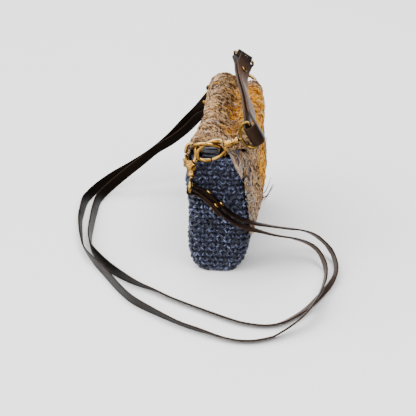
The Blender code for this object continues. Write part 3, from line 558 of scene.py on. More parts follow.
def add_tab(name, ring, leather):
    """A strip of leather round the ring's bar and down inside the gusset, with rounded cut edges."""
    outward = -1.0 if ring["bar"][0] < 0.0 else 1.0
    bar = Vector(ring["bar"])
    radius = RING_WIRE + GAP + TAB_LEATHER / 2
    rim = GUSSET_TOP + GAP - bar.z
    inside = abs(bar.x) - GUSSET_INSIDE + GAP
    half = TAB_LEATHER / 2
    # Local x runs inward from the ring's bar. Two layers go down inside, one round the bar
    line = [(inside + half, rim - TAB_DEPTH), (inside + half, rim - 12.0), (inside + half, rim - 1.0),
            (inside + half - 0.5, rim + half), (inside - 2.4, rim + half + 0.1), (1.2, rim + half + 0.5)]
    line += [(radius * math.cos(math.radians(a)), radius * math.sin(math.radians(a)))
             for a in range(270, -31, -15)]
    line += [(radius + 0.6, -3.4), (inside + half + TAB_LEATHER - 0.6, rim + 1.4 + half),
             (inside + half + TAB_LEATHER, rim - 0.4), (inside + half + TAB_LEATHER, rim - 12.0),
             (inside + half + TAB_LEATHER, rim - TAB_DEPTH)]
    rows = curve_through([(x, 0.0, z) for x, z in line], 0.8)
    points = []
    edge = []
    section = strip_section(TAB_WIDTH, TAB_LEATHER * 0.96, 0.55)
    for i, row in enumerate(rows):
        run = run_at(rows, i).normalized()
        across = Vector((0.0, 1.0, 0.0))
        out = across.cross(run).normalized()
        for wide, thick, at_edge in section:
            local = Vector(row) + across * wide + out * thick
            points.append(Vector((bar.x - outward * local.x, ring["tab_y"] + local.y, bar.z + local.z)))
            edge.append(at_edge)
    faces = rings_to_faces(len(rows), len(section))
    if outward < 0.0:
        faces = [tuple(reversed(face)) for face in faces]
    piece(name + "_tab_piece", points, faces, leather, [name + "_tab"], {"edge": edge})


def strip_section(width, thickness, corner):
    """Points round a strip's section with rounded corners and a slight crown, and 1 at its cut edges."""
    half, thick = width / 2, thickness / 2
    section = []
    for sign_w, sign_t, start in ((1, 1, 0), (-1, 1, 90), (-1, -1, 180), (1, -1, 270)):
        for k in range(4):
            angle = math.radians(start + 30.0 * k)
            wide = sign_w * (half - corner) + corner * math.cos(angle)
            deep = sign_t * (thick - corner) + corner * math.sin(angle)
            section.append((wide, deep, 1.0 if abs(wide) > half - corner * 0.9 else 0.0))
        for part in (0.35, 0.65):
            if sign_t > 0 and sign_w > 0:
                section.append(((half - corner) * (1 - 2 * part), thick + 0.06, 0.0))
            if sign_t < 0 and sign_w < 0:
                section.append((-(half - corner) * (1 - 2 * part), -thick - 0.06, 0.0))
    return section


def square_to(way, axis):
    return (way - axis * way.dot(axis)).normalized()


def clasp_reach(sizes):
    return (sizes["loop"] / 2 + sizes["neck"] + sizes["barrel"] + 1.4
            + sizes["eye_wire"] + sizes["eye_leg"] + sizes["eye_arc"])


def eye_bar(name):
    place = CLASPS[name]
    along = Vector(place["axis"]).normalized()
    middle = Vector(place["loop"]) + along * clasp_reach(place["sizes"])
    return middle, square_to(Vector(place["bar"]), along)


def loop_point(sizes, degrees):
    angle = math.radians(degrees)
    along = sizes["loop"] / 2 - sizes["wire"]
    across = sizes["width"] / 2 - sizes["wire"]
    flat = sizes["squareness"]
    return Vector((along * math.copysign(abs(math.cos(angle)) ** flat, math.cos(angle)),
                   across * math.copysign(abs(math.sin(angle)) ** flat, math.sin(angle)), 0.0))


def clasp_hook(sizes):
    """The hook's loop, the fork that holds the gate's pin, and the turned neck and barrel."""
    wire = sizes["wire"]
    pivot = loop_point(sizes, -GATE_PIVOT)
    start = -sizes["gate_end"] - GATE_OVERLAP
    sweep = 360.0 - sizes["gate_end"] - GATE_OVERLAP - (GATE_PIVOT + 9.0)
    line = [loop_point(sizes, start - sweep * i / LOOP_STEPS) for i in range(LOOP_STEPS + 1)]
    radii = [wire * (1.0 + sizes["swell"] * max(0.0, i / LOOP_STEPS - 0.55) / 0.45)
             for i in range(LOOP_STEPS + 1)]
    radii[0] = radii[0] * 0.8
    end = sizes["loop"] / 2
    cheek = loop_point(sizes, GATE_PIVOT + 2.0) + Vector((1.0, 0.0, 0.0))
    foot = Vector((end + 0.8, 0.0, 0.0))
    fork = [tube([cheek, foot], wire, UP, radii=[wire * 1.1, wire * 1.25]),
            tube([pivot + Vector((0.4, 0.6, 0.0)), foot], wire, UP, radii=[wire * 0.92, wire * 1.25])]
    neck, barrel, radius, cup = sizes["neck"], sizes["barrel"], sizes["barrel_r"], sizes["cup"]
    top = end + neck
    profile = [(end - 2.4 * wire, wire * 0.7, wire * 0.6), (end - 1.7 * wire, wire * 1.3, wire * 1.1),
               (end - 0.9 * wire, wire * 1.75, wire * 1.4), (end - 0.4 * wire, cup * 0.86, wire * 1.55),
               (end, cup * 0.98, wire * 1.65), (end + 0.16 * neck, cup, wire * 1.7),
               (end + 0.34 * neck, cup * 0.98, wire * 1.7), (end + 0.55 * neck, cup * 0.9, wire * 1.65),
               (end + 0.72 * neck, cup * 0.83, wire * 1.6), (top - 1.0, cup * 0.79, wire * 1.55),
               (top - 0.75, cup * 0.72, wire * 1.4), (top - 0.7, radius * 0.80), (top - 0.2, radius * 0.80),
               (top - 0.1, radius * 0.95), (top + 0.4, radius), (top + 1.1, radius),
               (top + 1.3, radius * 0.91), (top + 1.6, radius * 0.91), (top + 1.8, radius),
               (top + barrel - 1.3, radius), (top + barrel - 0.6, radius * 0.97),
               (top + barrel - 0.2, radius * 0.86), (top + barrel, radius * 0.6),
               (top + barrel + 0.1, radius * 0.2)]
    return joined([tube(line, wire, UP, radii=radii)] + fork + [turned_solid(profile)])


def clasp_gate(sizes):
    """The gate's bar, its knuckle on the pin and its thumb lever."""
    wire = sizes["wire"]
    pivot = loop_point(sizes, -GATE_PIVOT)
    first, last = GATE_PIVOT + 5.0, sizes["gate_end"] - 1.0
    line = [loop_point(sizes, -(first + (last - first) * i / GATE_STEPS)) for i in range(GATE_STEPS + 1)]
    pin = [pivot + Vector((0, 0, z)) for z in (-wire, -wire * 0.9, wire * 0.9, wire)]
    root = loop_point(sizes, -GATE_PIVOT - 14.0)
    lever = [root + Vector((x, y, 0.0)) for x, y in LEVER_LINE]
    pin_radii = [KNUCKLE * 0.88, KNUCKLE, KNUCKLE, KNUCKLE * 0.88]
    return joined([tube(line, wire * 0.86, UP), tube(pin, KNUCKLE, (1.0, 0.0, 0.0), radii=pin_radii),
                   tube(lever, 1.0, UP, radii=LEVER_RADII)])


def clasp_eye(sizes, eye_across):
    """The swivel's eye and the post that turns in the barrel."""
    reach = clasp_reach(sizes)
    line = [Vector((reach - inward, 0.0, 0.0)) + eye_across * sideways
            for inward, sideways in ring_outline(sizes["eye_half"], sizes["eye_leg"], sizes["eye_arc"])]
    crown = reach - sizes["eye_leg"] - sizes["eye_arc"]
    foot = crown - sizes["eye_wire"]
    post = turned_solid([(foot - 1.3, 1.5), (foot - 1.0, 1.9), (crown - 1.0, 1.8), (crown + 0.6, 1.6),
                         (crown + 1.0, 1.1)], 24)
    side = Vector((1.0, 0.0, 0.0)).cross(eye_across)
    return joined([tube(line, sizes["eye_wire"], side, closed=True), post])


def add_clasp(name, brass, old_brass):
    place = CLASPS[name]
    sizes = place["sizes"]
    along = Vector(place["axis"]).normalized()
    normal = square_to(Vector(place["faces"]), along)
    across = normal.cross(along)
    matrix = Matrix((along, across, normal)).transposed().to_4x4()
    matrix.translation = Vector(place["loop"])
    points, faces = clasp_hook(sizes)
    piece(name + "_hook_piece", moved(points, matrix), faces, brass, [name + "_hook"])
    points, faces = clasp_gate(sizes)
    made = piece(name + "_gate_piece", moved(points, matrix), faces, brass)
    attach(made, name + "_gate")
    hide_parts(name + "_gate")
    bar = square_to(Vector(place["bar"]), along)
    points, faces = clasp_eye(sizes, Vector((0.0, bar.dot(across), bar.dot(normal))))
    piece(name + "_eye_piece", moved(points, matrix), faces, old_brass, [name + "_eye"])


# Leather strips, on the same tables as the part's source

STRAP_WIDTH = 11.0
STRAP_THICKNESS = 1.6
STRIP_PITCH = 11.8
HANDLE_WIDTH = 19.6
HANDLE_THICKNESS = 2.2
RIVET_HEAD = 3.3
RIVET_POST = 1.1
FOLD_STEPS = 16
STRAP_FOLD = 3.1
STRAP_RETURN = 40.0
STRAP_FAR_RETURN = 22.0
STRIP_ONE = [
    # (x, y, z, roll)
    (-119.6, 19.0, 93.2, 0.0),
    (-119.0, 12.0, 89.7, 0.0),
    (-118.5, 5.0, 84.2, -1.0),
    (-118.5, -1.0, 78.3, -1.0),
    (-118.5, -9.0, 70.0, 0.0),
    (-118.5, -19.0, 63.0, 0.0),
    (-118.0, -29.0, 59.0, 0.0),
    (-115.0, -37.5, 55.5, 0.0),
    (-104.0, -50.0, 49.0, 1.0),
    (-86.0, -64.5, 39.5, 4.0),
    (-68.0, -81.5, 30.5, 12.0),
    (-60.0, -94.0, 23.5, 22.0),
    (-59.0, -103.5, 16.5, 44.0),
    (-65.0, -111.0, 11.0, 70.0),
    (-76.0, -116.5, 6.0, 90.0),
    (-102.0, -119.0, 0.0, 110.0),
    (-124.0, -116.5, 0.0, 133.0),
    (-145.5, -110.5, 0.0, 150.0),
    (-168.5, -102.0, 0.0, 151.0),
    (-187.5, -94.0, 0.0, 150.0),
    (-206.0, -83.0, 0.0, 149.0),
    (-222.0, -70.0, 0.0, 150.0),
    (-228.0, -55.5, 0.0, 152.0),
    (-225.0, -35.5, 0.0, 151.0),
    (-217.5, -20.0, 0.0, 150.0),
    (-199.0, 10.0, 0.0, 149.0),
    (-179.0, 40.0, 0.0, 146.0),
    (-167.5, 54.0, 0.0, 142.0),
    (-158.0, 71.0, 0.0, 128.0),
    (-145.5, 87.5, 0.0, 105.0),
    (-123.5, 108.0, 0.0, 86.0),
    (-98.0, 125.0, 0.0, 88.0),
    (-74.5, 137.0, 0.0, 97.0),
    (-44.5, 144.5, 0.0, 108.0),
    (-8.0, 149.5, 0.0, 114.0),
    (27.5, 153.5, 0.0, 120.0),
    (68.0, 155.5, 4.0, 118.0),
    (88.0, 147.0, 10.5, 114.0),
    (106.0, 130.0, 22.0, 108.0),
    (117.0, 113.0, 34.0, 102.0),
    (126.0, 97.5, 45.5, 96.0),
    (134.0, 81.5, 53.5, 90.0),
    (140.0, 67.5, 63.0, 86.0),
    (143.0, 57.5, 72.0, 84.0),
    (144.2, 48.0, 82.5, 86.0),
    (144.9, 35.8, 88.9, 90.0),
]
STRIP_TWO = [
    # (x, y, z, roll)
    (-132.0, 19.5, 93.6, 0.0),
    (-131.4, 12.0, 89.2, 0.0),
    (-130.8, 5.0, 83.0, -1.0),
    (-130.0, -1.0, 75.5, -2.0),
    (-130.0, -9.0, 68.0, 0.0),
    (-130.0, -19.0, 61.5, 0.0),
    (-129.5, -29.5, 56.5, 0.0),
    (-126.0, -40.5, 52.5, 0.0),
    (-116.0, -53.0, 45.0, 1.0),
    (-103.0, -63.5, 37.5, 5.0),
    (-91.0, -74.0, 31.0, 13.0),
    (-79.0, -88.5, 21.5, 24.0),
    (-79.0, -98.0, 15.5, 52.0),
    (-86.0, -104.0, 10.0, 82.0),
    (-103.5, -108.5, 5.5, 100.0),
    (-136.0, -108.0, 7.5, 112.0),
    (-167.5, -104.5, 10.5, 117.0),
    (-196.0, -99.0, 12.5, 121.0),
    (-220.5, -91.0, 12.0, 128.0),
    (-234.0, -80.5, 8.0, 136.0),
    (-247.0, -68.5, 5.0, 142.0),
    (-255.5, -54.5, 0.0, 149.0),
    (-259.5, -42.0, 0.0, 152.0),
    (-257.5, -24.0, 0.0, 150.0),
    (-245.0, 4.5, 0.0, 134.0),
    (-234.5, 23.5, 0.0, 130.0),
    (-212.5, 52.5, 0.0, 113.0),
    (-193.0, 74.0, 0.0, 99.0),
    (-167.5, 92.0, 0.0, 91.0),
    (-132.0, 113.0, 0.0, 88.0),
    (-107.5, 128.5, 0.0, 102.0),
    (-84.0, 141.0, 0.0, 112.0),
    (-60.0, 150.0, 0.0, 104.0),
    (-26.5, 158.5, 0.0, 110.0),
    (2.0, 164.5, 0.0, 110.0),
    (21.0, 167.0, 0.0, 112.0),
    (62.0, 170.5, 3.0, 119.0),
    (84.0, 164.5, 8.0, 116.0),
    (108.0, 147.5, 16.0, 110.0),
    (122.0, 127.5, 25.0, 104.0),
    (133.0, 103.5, 39.0, 96.0),
    (143.0, 82.0, 56.2, 90.0),
    (148.5, 65.0, 74.2, 88.0),
    (150.8, 52.5, 87.0, 88.0),
    (149.0, 45.1, 96.1, 90.0),
]
STRIP_STEP = 6.5
# Rows over which a strip turns from its eye's bar to its own roll
END_ROWS = 6
# Rivets: which strip, and how far along it from the near clasp (positive) or the far one (negative)
STRIP_RIVETS = [
    # (strip, along)
    (0, 16.5),
    (0, 34.0),
    (1, 28.5),
    (0, -15.0),
    (1, -15.0),
]

# Middle line of the handle's lower layer between the clasps' eyes, with its width's direction and
# half the space between the middles of its two layers
HANDLE_LINE = [
    # (x, y, z, wx, wy, wz, half_gap)
    (-101.0, -33.3, 154.1, 0.0, -0.54, -0.84, 3.6),
    (-84.0, -28.8, 157.3, 0.0, -0.44, -0.90, 2.4),
    (-57.0, -24.5, 163.9, 0.0, -0.46, -0.89, 2.0),
    (-31.0, -18.2, 169.2, 0.0, -0.40, -0.92, 1.8),
    (-8.0, -13.6, 175.3, 0.0, -0.42, -0.91, 1.6),
    (9.0, -13.2, 180.1, 0.0, -0.60, -0.80, 1.9),
    (34.0, -9.4, 181.4, 0.02, -0.72, -0.69, 1.4),
    (56.0, -8.6, 178.4, 0.02, -0.86, -0.50, 1.4),
    (76.0, -8.4, 173.2, -0.12, -0.86, -0.46, 1.4),
    (91.0, -8.3, 169.0, -0.24, -0.86, -0.42, 1.7),
]
HANDLE_STEP = 4.5
HANDLE_FOLD = 5.6
HANDLE_FAR_FOLD = 3.4
# The fold round the near eye leans from the eye's own bar: its middle and its width's direction
HANDLE_NEAR_FOLD = (-119.6, -35.8, 151.6, 0.0, -0.50, -0.87)
# The upper layer comes back as far as this from the near eye, then peels up to its square end
HANDLE_DOUBLED = 114.0
HANDLE_END = [
    # (x, y, z, wx, wy, wz)
    (6.0, -14.5, 180.8, 0.0, -0.59, -0.81),
    (15.0, -15.8, 183.7, 0.0, -0.57, -0.82),
    (24.0, -17.6, 186.6, 0.0, -0.565, -0.825),
]
HANDLE_RETURN = 24.0
HANDLE_RIVETS = [129.5, -16.0]


def smooth(part):
    part = max(0.0, min(1.0, part))
    return part * part * (3.0 - 2.0 * part)


def distances(places):
    made = [0.0]
    for a, b in zip(places, places[1:]):
        made.append(made[-1] + (b - a).length)
    return made


def faces_along(places, widths):
    made = []
    for i, across in enumerate(widths):
        made.append(across.cross(run_at(places, i)).normalized())
    return made


def turn_round(bar, run, across, radius):
    face = across.cross(run).normalized()
    rows = []
    for i in range(1, FOLD_STEPS):
        angle = math.pi * i / FOLD_STEPS
        out = face * -math.cos(angle) - run * math.sin(angle)
        rows.append((bar + out * radius, across, out))
    return rows


def widened(gap, fold, from_bar, reach):
    """Half the space between two layers, which widens to the fold's own radius at the bar."""
    return gap + (fold - gap) * (1.0 - smooth(from_bar / (reach * fold)))


def folded_strip(places, widths, gaps, folds, returns):
    """Rows of (place, width direction, face direction) for a strip folded back at both ends."""
    along = distances(places)
    total = along[-1]
    faces = faces_along(places, widths)

    def layer(first, last, side):
        return [(places[i] + faces[i] * side * gaps[i], widths[i], faces[i] * side)
                for i in range(len(places)) if first <= along[i] <= last]

    start_turn = turn_round(places[0], (places[1] - places[0]).normalized(), widths[0], folds[0])
    end_turn = turn_round(places[-1], (places[-2] - places[-1]).normalized(), widths[-1] * -1.0, folds[1])
    end_turn = [(place, widths[-1], out) for place, _, out in end_turn]
    return (layer(0.0, returns[0], -1.0)[::-1] + start_turn + layer(0.0, total, 1.0)
            + end_turn[::-1] + layer(total - returns[1], total, -1.0)[::-1])


def add_strip(name, node, rows, width, thickness, leather):
    """A strip with rounded, paler cut edges along rows of (place, width direction, face direction)."""
    section = strip_section(width, thickness * 0.98, 0.62)
    points, edge = [], []
    for place, across, out in rows:
        across, out = across.normalized(), out.normalized()
        for wide, thick, at_edge in section:
            points.append(place + across * wide + out * thick)
            edge.append(at_edge)
    faces = [tuple(reversed(face)) for face in rings_to_faces(len(rows), len(section))]
    # Painted sheen: the handle is browner along its middle, and the strap on the floor in front, standing in
    # for the light they reflect
    if node == "handle":
        painted_sheen = [smooth((point.x + 104.0) / 20.0) * smooth((34.0 - point.x) / 60.0) for point in points]
    else:
        painted_sheen = [0.8 * smooth((25.0 - point.y) / 90.0) * smooth((70.0 - point.z) / 30.0) for point in points]
    piece(name, points, faces, leather, [node], {"edge": edge, "painted_sheen": painted_sheen})


def rolled(rows):
    places, widths = [], []
    for i, row in enumerate(rows):
        run = run_at(rows, i).normalized()
        level = run.cross(Vector((0.0, 0.0, 1.0))).normalized()
        up = level.cross(run).normalized()
        roll = math.radians(row[3])
        across = level * math.cos(roll) + up * math.sin(roll)
        out = across.cross(run)
        lift = abs(across.z) * STRAP_WIDTH / 2 + abs(out.z) * STRAP_THICKNESS / 2
        places.append(Vector((row[0], row[1], max(row[2], lift))))
        widths.append(across)
    return places, widths


def point_along(places, at):
    along = distances(places)
    if at < 0.0:
        at += along[-1]
    for i in range(1, len(places)):
        if along[i] >= at:
            part = (at - along[i - 1]) / (along[i] - along[i - 1])
            return places[i - 1].lerp(places[i], part), i
    return places[-1], len(places) - 1


def add_rivet(name, spot, out, grip, brass):
    """A domed rivet with a rolled rim and a small dimple, over its burr on the other side."""
    top = grip / 2 + 2 * GAP
    profile = [(-top - 1.0, RIVET_HEAD * 0.15), (-top - 0.9, RIVET_HEAD * 0.5), (-top, RIVET_HEAD * 0.75),
               (-top, RIVET_POST), (top - 0.4, RIVET_POST), (top - 0.4, RIVET_HEAD * 0.97),
               (top + 0.1, RIVET_HEAD * 1.03), (top + 0.6, RIVET_HEAD * 0.96), (top + 1.1, RIVET_HEAD * 0.74),
               (top + 1.2, RIVET_HEAD * 0.56), (top + 0.9, RIVET_HEAD * 0.42),
               (top + 0.55, RIVET_HEAD * 0.32), (top + 0.5, RIVET_HEAD * 0.05)]
    points, faces = turned_solid(profile, 28)
    turn = Vector((1.0, 0.0, 0.0)).rotation_difference(Vector(out).normalized()).to_matrix().to_4x4()
    turn.translation = Vector(spot)
    piece(name + "_piece", moved(points, turn), faces, brass, [name])


def add_crossbody_strap(leather, brass):
    near_bar, near_run = eye_bar("near_strap")
    far_bar, far_run = eye_bar("far_strap")
    made = []
    for name, table, side in (("strip_one", STRIP_ONE, -0.5), ("strip_two", STRIP_TWO, 0.5)):
        near = near_bar + near_run * STRIP_PITCH * side
        far = far_bar + far_run * STRIP_PITCH * side
        rows = [(*near, 0.0)] + table + [(*far, 90.0)]
        places, widths = rolled(curve_through(rows, STRIP_STEP))
        places[0], places[-1] = near, far
        widths[0], widths[-1] = near_run, far_run
        for k in range(1, END_ROWS):
            part = smooth(k / END_ROWS)
            widths[k] = near_run.lerp(widths[k], part).normalized()
            widths[-1 - k] = far_run.lerp(widths[-1 - k], part).normalized()
        along = distances(places)
        gap = STRAP_THICKNESS / 2 + GAP / 2
        gaps = [widened(gap, STRAP_FOLD, min(at, along[-1] - at), 2.6) for at in along]
        rows = folded_strip(places, widths, gaps, (STRAP_FOLD, STRAP_FOLD), (STRAP_RETURN, STRAP_FAR_RETURN))
        add_strip(name + "_piece", name, rows, STRAP_WIDTH, STRAP_THICKNESS, leather)
        made.append((places, widths))
    for number, (which, at) in enumerate(STRIP_RIVETS):
        places, widths = made[which]
        spot, i = point_along(places, at)
        add_rivet("strap_rivet_%d" % (number + 1), spot, faces_along(places, widths)[i],
                  2 * STRAP_THICKNESS + GAP, brass)


def add_handle(leather, brass):
    far_bar, far_run = eye_bar("far_handle")
    rows = [(*HANDLE_NEAR_FOLD, HANDLE_FOLD)] + HANDLE_LINE + [(*far_bar, *far_run, HANDLE_FAR_FOLD)]
    rows = curve_through(rows, HANDLE_STEP)
    places = [Vector(row[:3]) for row in rows]
    widths = [Vector(row[3:6]).normalized() * -1.0 for row in rows]
    along = distances(places)
    total = along[-1]
    folds = [HANDLE_FOLD if at < total / 2 else HANDLE_FAR_FOLD for at in along]
    gaps = [widened(row[6], fold, min(at, total - at), 2.2) for row, fold, at in zip(rows, folds, along)]
    path = [(Vector((x, y, z)), Vector((wx, wy, wz)).normalized() * -1.0, None)
            for x, y, z, wx, wy, wz in reversed(HANDLE_END)]
    returns = (HANDLE_DOUBLED, HANDLE_RETURN)
    path += folded_strip(places, widths, gaps, (HANDLE_FOLD, HANDLE_FAR_FOLD), returns)
    for i in range(len(HANDLE_END)):
        run = path[i + 1][0] - path[i][0]
        path[i] = (path[i][0], path[i][1], path[i][1].cross(run).normalized())
    add_strip("handle_piece", "handle", path, HANDLE_WIDTH, HANDLE_THICKNESS, leather)
    for number, at in enumerate(HANDLE_RIVETS):
        spot, i = point_along(places, at)
        add_rivet("handle_rivet_%d" % (number + 1), spot, faces_along(places, widths)[i] * -1.0,
                  2 * gaps[i] + HANDLE_THICKNESS + GAP, brass)


# Pouch, on the same section as the part's source

BAG_HALF_WIDTH = 110.0
WALL = 5.0
BASE_HALF_WIDTH = 106.5
BASE_ROUNDING = 9.0
CORNER = 9.0
WALL_TOP = 125.0
POUCH_SECTION = [
    # (z, back_y, front_y, back_bow, front_bow)
    (0.0, 14.0, -11.0, 0.0, 0.0),
    (1.6, 19.0, -16.0, 0.1, 0.1),
    (6.0, 24.0, -20.5, 0.5, 0.5),
    (12.0, 27.2, -24.6, 1.0, 1.0),
    (20.0, 29.0, -27.8, 1.7, 1.7),
    (37.0, 29.8, -30.2, 3.1, 3.1),
    (52.0, 28.8, -30.0, 4.2, 3.0),
    (65.0, 28.8, -28.8, 4.6, 3.6),
    (80.0, 30.2, -26.6, 3.4, 4.4),
    (95.0, 32.6, -24.6, 0.5, 4.8),
    (103.0, 31.4, -24.0, -2.5, 4.6),
    (110.0, 29.6, -23.4, -5.0, 4.4),
    (125.0, 27.6, -22.4, -9.3, 4.0),
]
GROUND_INSET = 1.3
STITCH_COLUMNS = 68
STITCH_ROW = 5.2
STITCH_FIRST = 2.9
STITCH_ROWS = 23
STITCH_RADIUS = 1.85
LEG_ACROSS = 4.0
LEG_RISE = 4.1
LEG_OUT = 2.3
RIM_PITCH = 4.3
RIM_LENGTH = 7.5
RIM_HEIGHT = 119.5
RIM_RISE = 3.0
RIM_RADIUS = 1.7
# Where the gussets begin along x, and down to where the flap lies on the front and on the back
GUSSET_FROM = 99.0
NEAR_GUSSET_FROM = -98.0
COVERED_FRONT = 49.0
COVERED_BACK = 105.0


def blend(table, value, column):
    if value <= table[0][0]:
        return table[0][column]
    for low, high in zip(table, table[1:]):
        if value <= high[0]:
            part = (value - low[0]) / (high[0] - low[0])
            return low[column] + (high[column] - low[column]) * part
    return table[-1][column]


def bulge(x):
    part = max(-1.0, min(1.0, x / BAG_HALF_WIDTH))
    return (1.0 - part * part) ** 1.4


def wall_y(side, x, z):
    column = 1 if side > 0 else 2
    bow = blend(POUCH_SECTION, z, column + 2)
    return blend(POUCH_SECTION, z, column) + side * bow * bulge(x)


def half_width(z):
    if z >= BASE_ROUNDING:
        return BAG_HALF_WIDTH
    drop = (BASE_ROUNDING - z) / BASE_ROUNDING
    inset = (BAG_HALF_WIDTH - BASE_HALF_WIDTH) * (1.0 - math.sqrt(max(0.0, 1.0 - drop * drop)))
    return BAG_HALF_WIDTH - inset


def pouch_ring(z, inset, long_steps=40, short_steps=12, corner_steps=6):
    """Points round the pouch at height z: the front, the far gusset, the back and the near gusset."""
    reach = half_width(z) - inset
    corner = CORNER - 0.5 * inset
    inner = reach - corner
    points = []
    for side in (-1, 1):
        for i in range(long_steps + 1):
            x = side * -1 * (-inner + 2 * inner * i / long_steps)
            points.append((x, wall_y(side, x, z) - side * inset, z))
        end = -side * inner
        panel = wall_y(side, end, z) - side * inset
        opposite = wall_y(-side, end, z) + side * inset
        for i in range(1, corner_steps + 1):
            angle = math.radians(90.0 * i / (corner_steps + 1))
            y = panel - side * corner * (1 - math.cos(angle))
            points.append((end - side * corner * math.sin(angle), y, z))
        low = panel - side * corner
        high = opposite + side * corner
        for i in range(short_steps + 1):
            points.append((end - side * corner, low + (high - low) * i / short_steps, z))
        for i in range(1, corner_steps + 1):
            angle = math.radians(90.0 * (1.0 - i / (corner_steps + 1)))
            y = opposite + side * corner * (1 - math.cos(angle))
            points.append((end - side * corner * math.sin(angle), y, z))
    return points


def rim_height(x, top):
    near = min(1.0, max(0.0, (BAG_HALF_WIDTH - WALL - 1.0 - abs(x)) / 16.0))
    ease = near * near * (3.0 - 2.0 * near)
    return GUSSET_TOP + (top - GUSSET_TOP) * ease


def add_rim(look):
    """A row of slanting stitches over the edge of each gusset."""
    at, total = pouch_surface()
    around = np.arange(0.0, total, RIM_PITCH)
    t = np.linspace(0.0, 1.0, 8)[None, :]
    points, normals = at(around[:, None] + RIM_LENGTH * (t - 0.5), RIM_HEIGHT + RIM_RISE * t)
    keep = np.abs(points[:, 4, 0]) > 100.0
    lines = points + normals * (0.2 + 1.1 * np.sin(math.pi * t))[..., None]
    radii = np.broadcast_to(RIM_RADIUS * (0.55 + 0.45 * np.sin(math.pi * t) ** 0.6), lines.shape[:2])
    yarn = np.stack(np.broadcast_arrays(t[..., None] * RIM_LENGTH, np.arange(8)[None, None, :] * 1.2,
                                        around[keep][:, None, None] * 9.0), axis=-1)
    extra = {"yarn": yarn.reshape(-1, 3), "highlight_strength": np.full(yarn.size // 3, 0.7)}
    tube_piece("rim_stitches", lines[keep], radii[keep], normals[keep], 8, look, extra=extra)


def add_pouch_ground(look):
    """The shell between and behind the stitches."""
    outer = [0.0, 0.8, 1.6, 3.5, 6.0, 9.0, 12.0, 16.0, 20.0, 28.0, 37.0, 45.0, 52.0, 58.0, 65.0, 72.0,
             80.0, 88.0, 95.0, 99.0, 103.0, 107.0, 111.0, 118.0, WALL_TOP]
    inner = [WALL_TOP, 111.0, 103.0, 95.0, 80.0, 65.0, 52.0, 37.0, 20.0, 12.0, 7.0]
    rings = [pouch_ring(z, GROUND_INSET if z > 1.0 else 0.0) for z in outer]
    rings += [pouch_ring(z, WALL) for z in inner]
    points = []
    for number, ring in enumerate(rings):
        at_mouth = number in (len(outer) - 1, len(outer))
        for x, y, z in ring:
            points.append((x, y, rim_height(x, WALL_TOP) if at_mouth else z))
    faces = rings_to_faces(len(rings), len(rings[0]))
    yarn = [(x, z, y) for x, y, z in points]
    piece("pouch_ground", points, faces, look, ["pouch"],
          {"yarn": yarn, "highlight_strength": np.full(len(points), 0.15)})


def grid_reader(grid, closed):
    """A function from fractional grid indices to points and outward normals."""
    run = np.gradient(grid, axis=1)
    if closed:
        run[:, 0] = run[:, -1] = (grid[:, 1] - grid[:, -2]) / 2
    normals = unit(np.cross(run, np.gradient(grid, axis=0)))

    def read(values, row, column):
        row = np.clip(row, 0.0, grid.shape[0] - 1.001)
        column = np.mod(column, grid.shape[1] - 1) if closed else np.clip(column, 0.0, grid.shape[1] - 1.001)
        r, c = row.astype(int), column.astype(int)
        c = np.minimum(c, grid.shape[1] - 2)
        fr, fc = (row - r)[..., None], (column - c)[..., None]
        return ((values[r, c] * (1 - fc) + values[r, c + 1] * fc) * (1 - fr)
                + (values[r + 1, c] * (1 - fc) + values[r + 1, c + 1] * fc) * fr)

    return lambda row, column: (read(grid, row, column), unit(read(normals, row, column)))


def pouch_surface():
    """A function from millimetres round the pouch and height to points and normals, and the way round."""
    heights = np.arange(0.0, WALL_TOP + 0.1, 1.0)
    rings = [pouch_ring(z, GROUND_INSET) for z in heights]
    grid = np.array([ring + ring[:1] for ring in rings])
    level = grid[40]
    round_at = lengths_along(level)
    read = grid_reader(grid, True)

    def at(around, height):
        return read(height, np.interp(np.mod(around, round_at[-1]), round_at, np.arange(len(round_at))))

    return at, round_at[-1]


def stitch_legs(at, total, row, column, length):
    """The lines of the two legs of each stitch, as wide open Vs that overlap the row above."""
    pitch = total / STITCH_COLUMNS
    count = len(row)
    t = np.linspace(0.0, 1.0, length)[None, :]
    lines, normals = [], []
    for side in (-1.0, 1.0):
        jitter = RANDOM.normal(0.0, 1.0, (5, count, 1))
        around = (column[:, None] + 0.5 * (row[:, None] % 2)) * pitch + 0.35 * jitter[0]
        around = around + side * (0.1 + (LEG_ACROSS + 0.45 * jitter[1]) * t)
        height = STITCH_FIRST + STITCH_ROW * row[:, None] + 0.45 * jitter[2]
        height = height + (LEG_RISE + jitter[3]) * (t - 0.5)
        out = -1.0 + (LEG_OUT + 0.3 * jitter[4]) * np.sin(math.pi * t) ** 0.8
        points, normal = at(around, np.clip(height, 0.6, WALL_TOP - 0.5))
        line = points + normal * out[..., None]
        line[..., 2] = np.maximum(line[..., 2], 1.75)
        lines.append(line)
        normals.append(normal)
    return np.concatenate(lines), np.concatenate(normals)


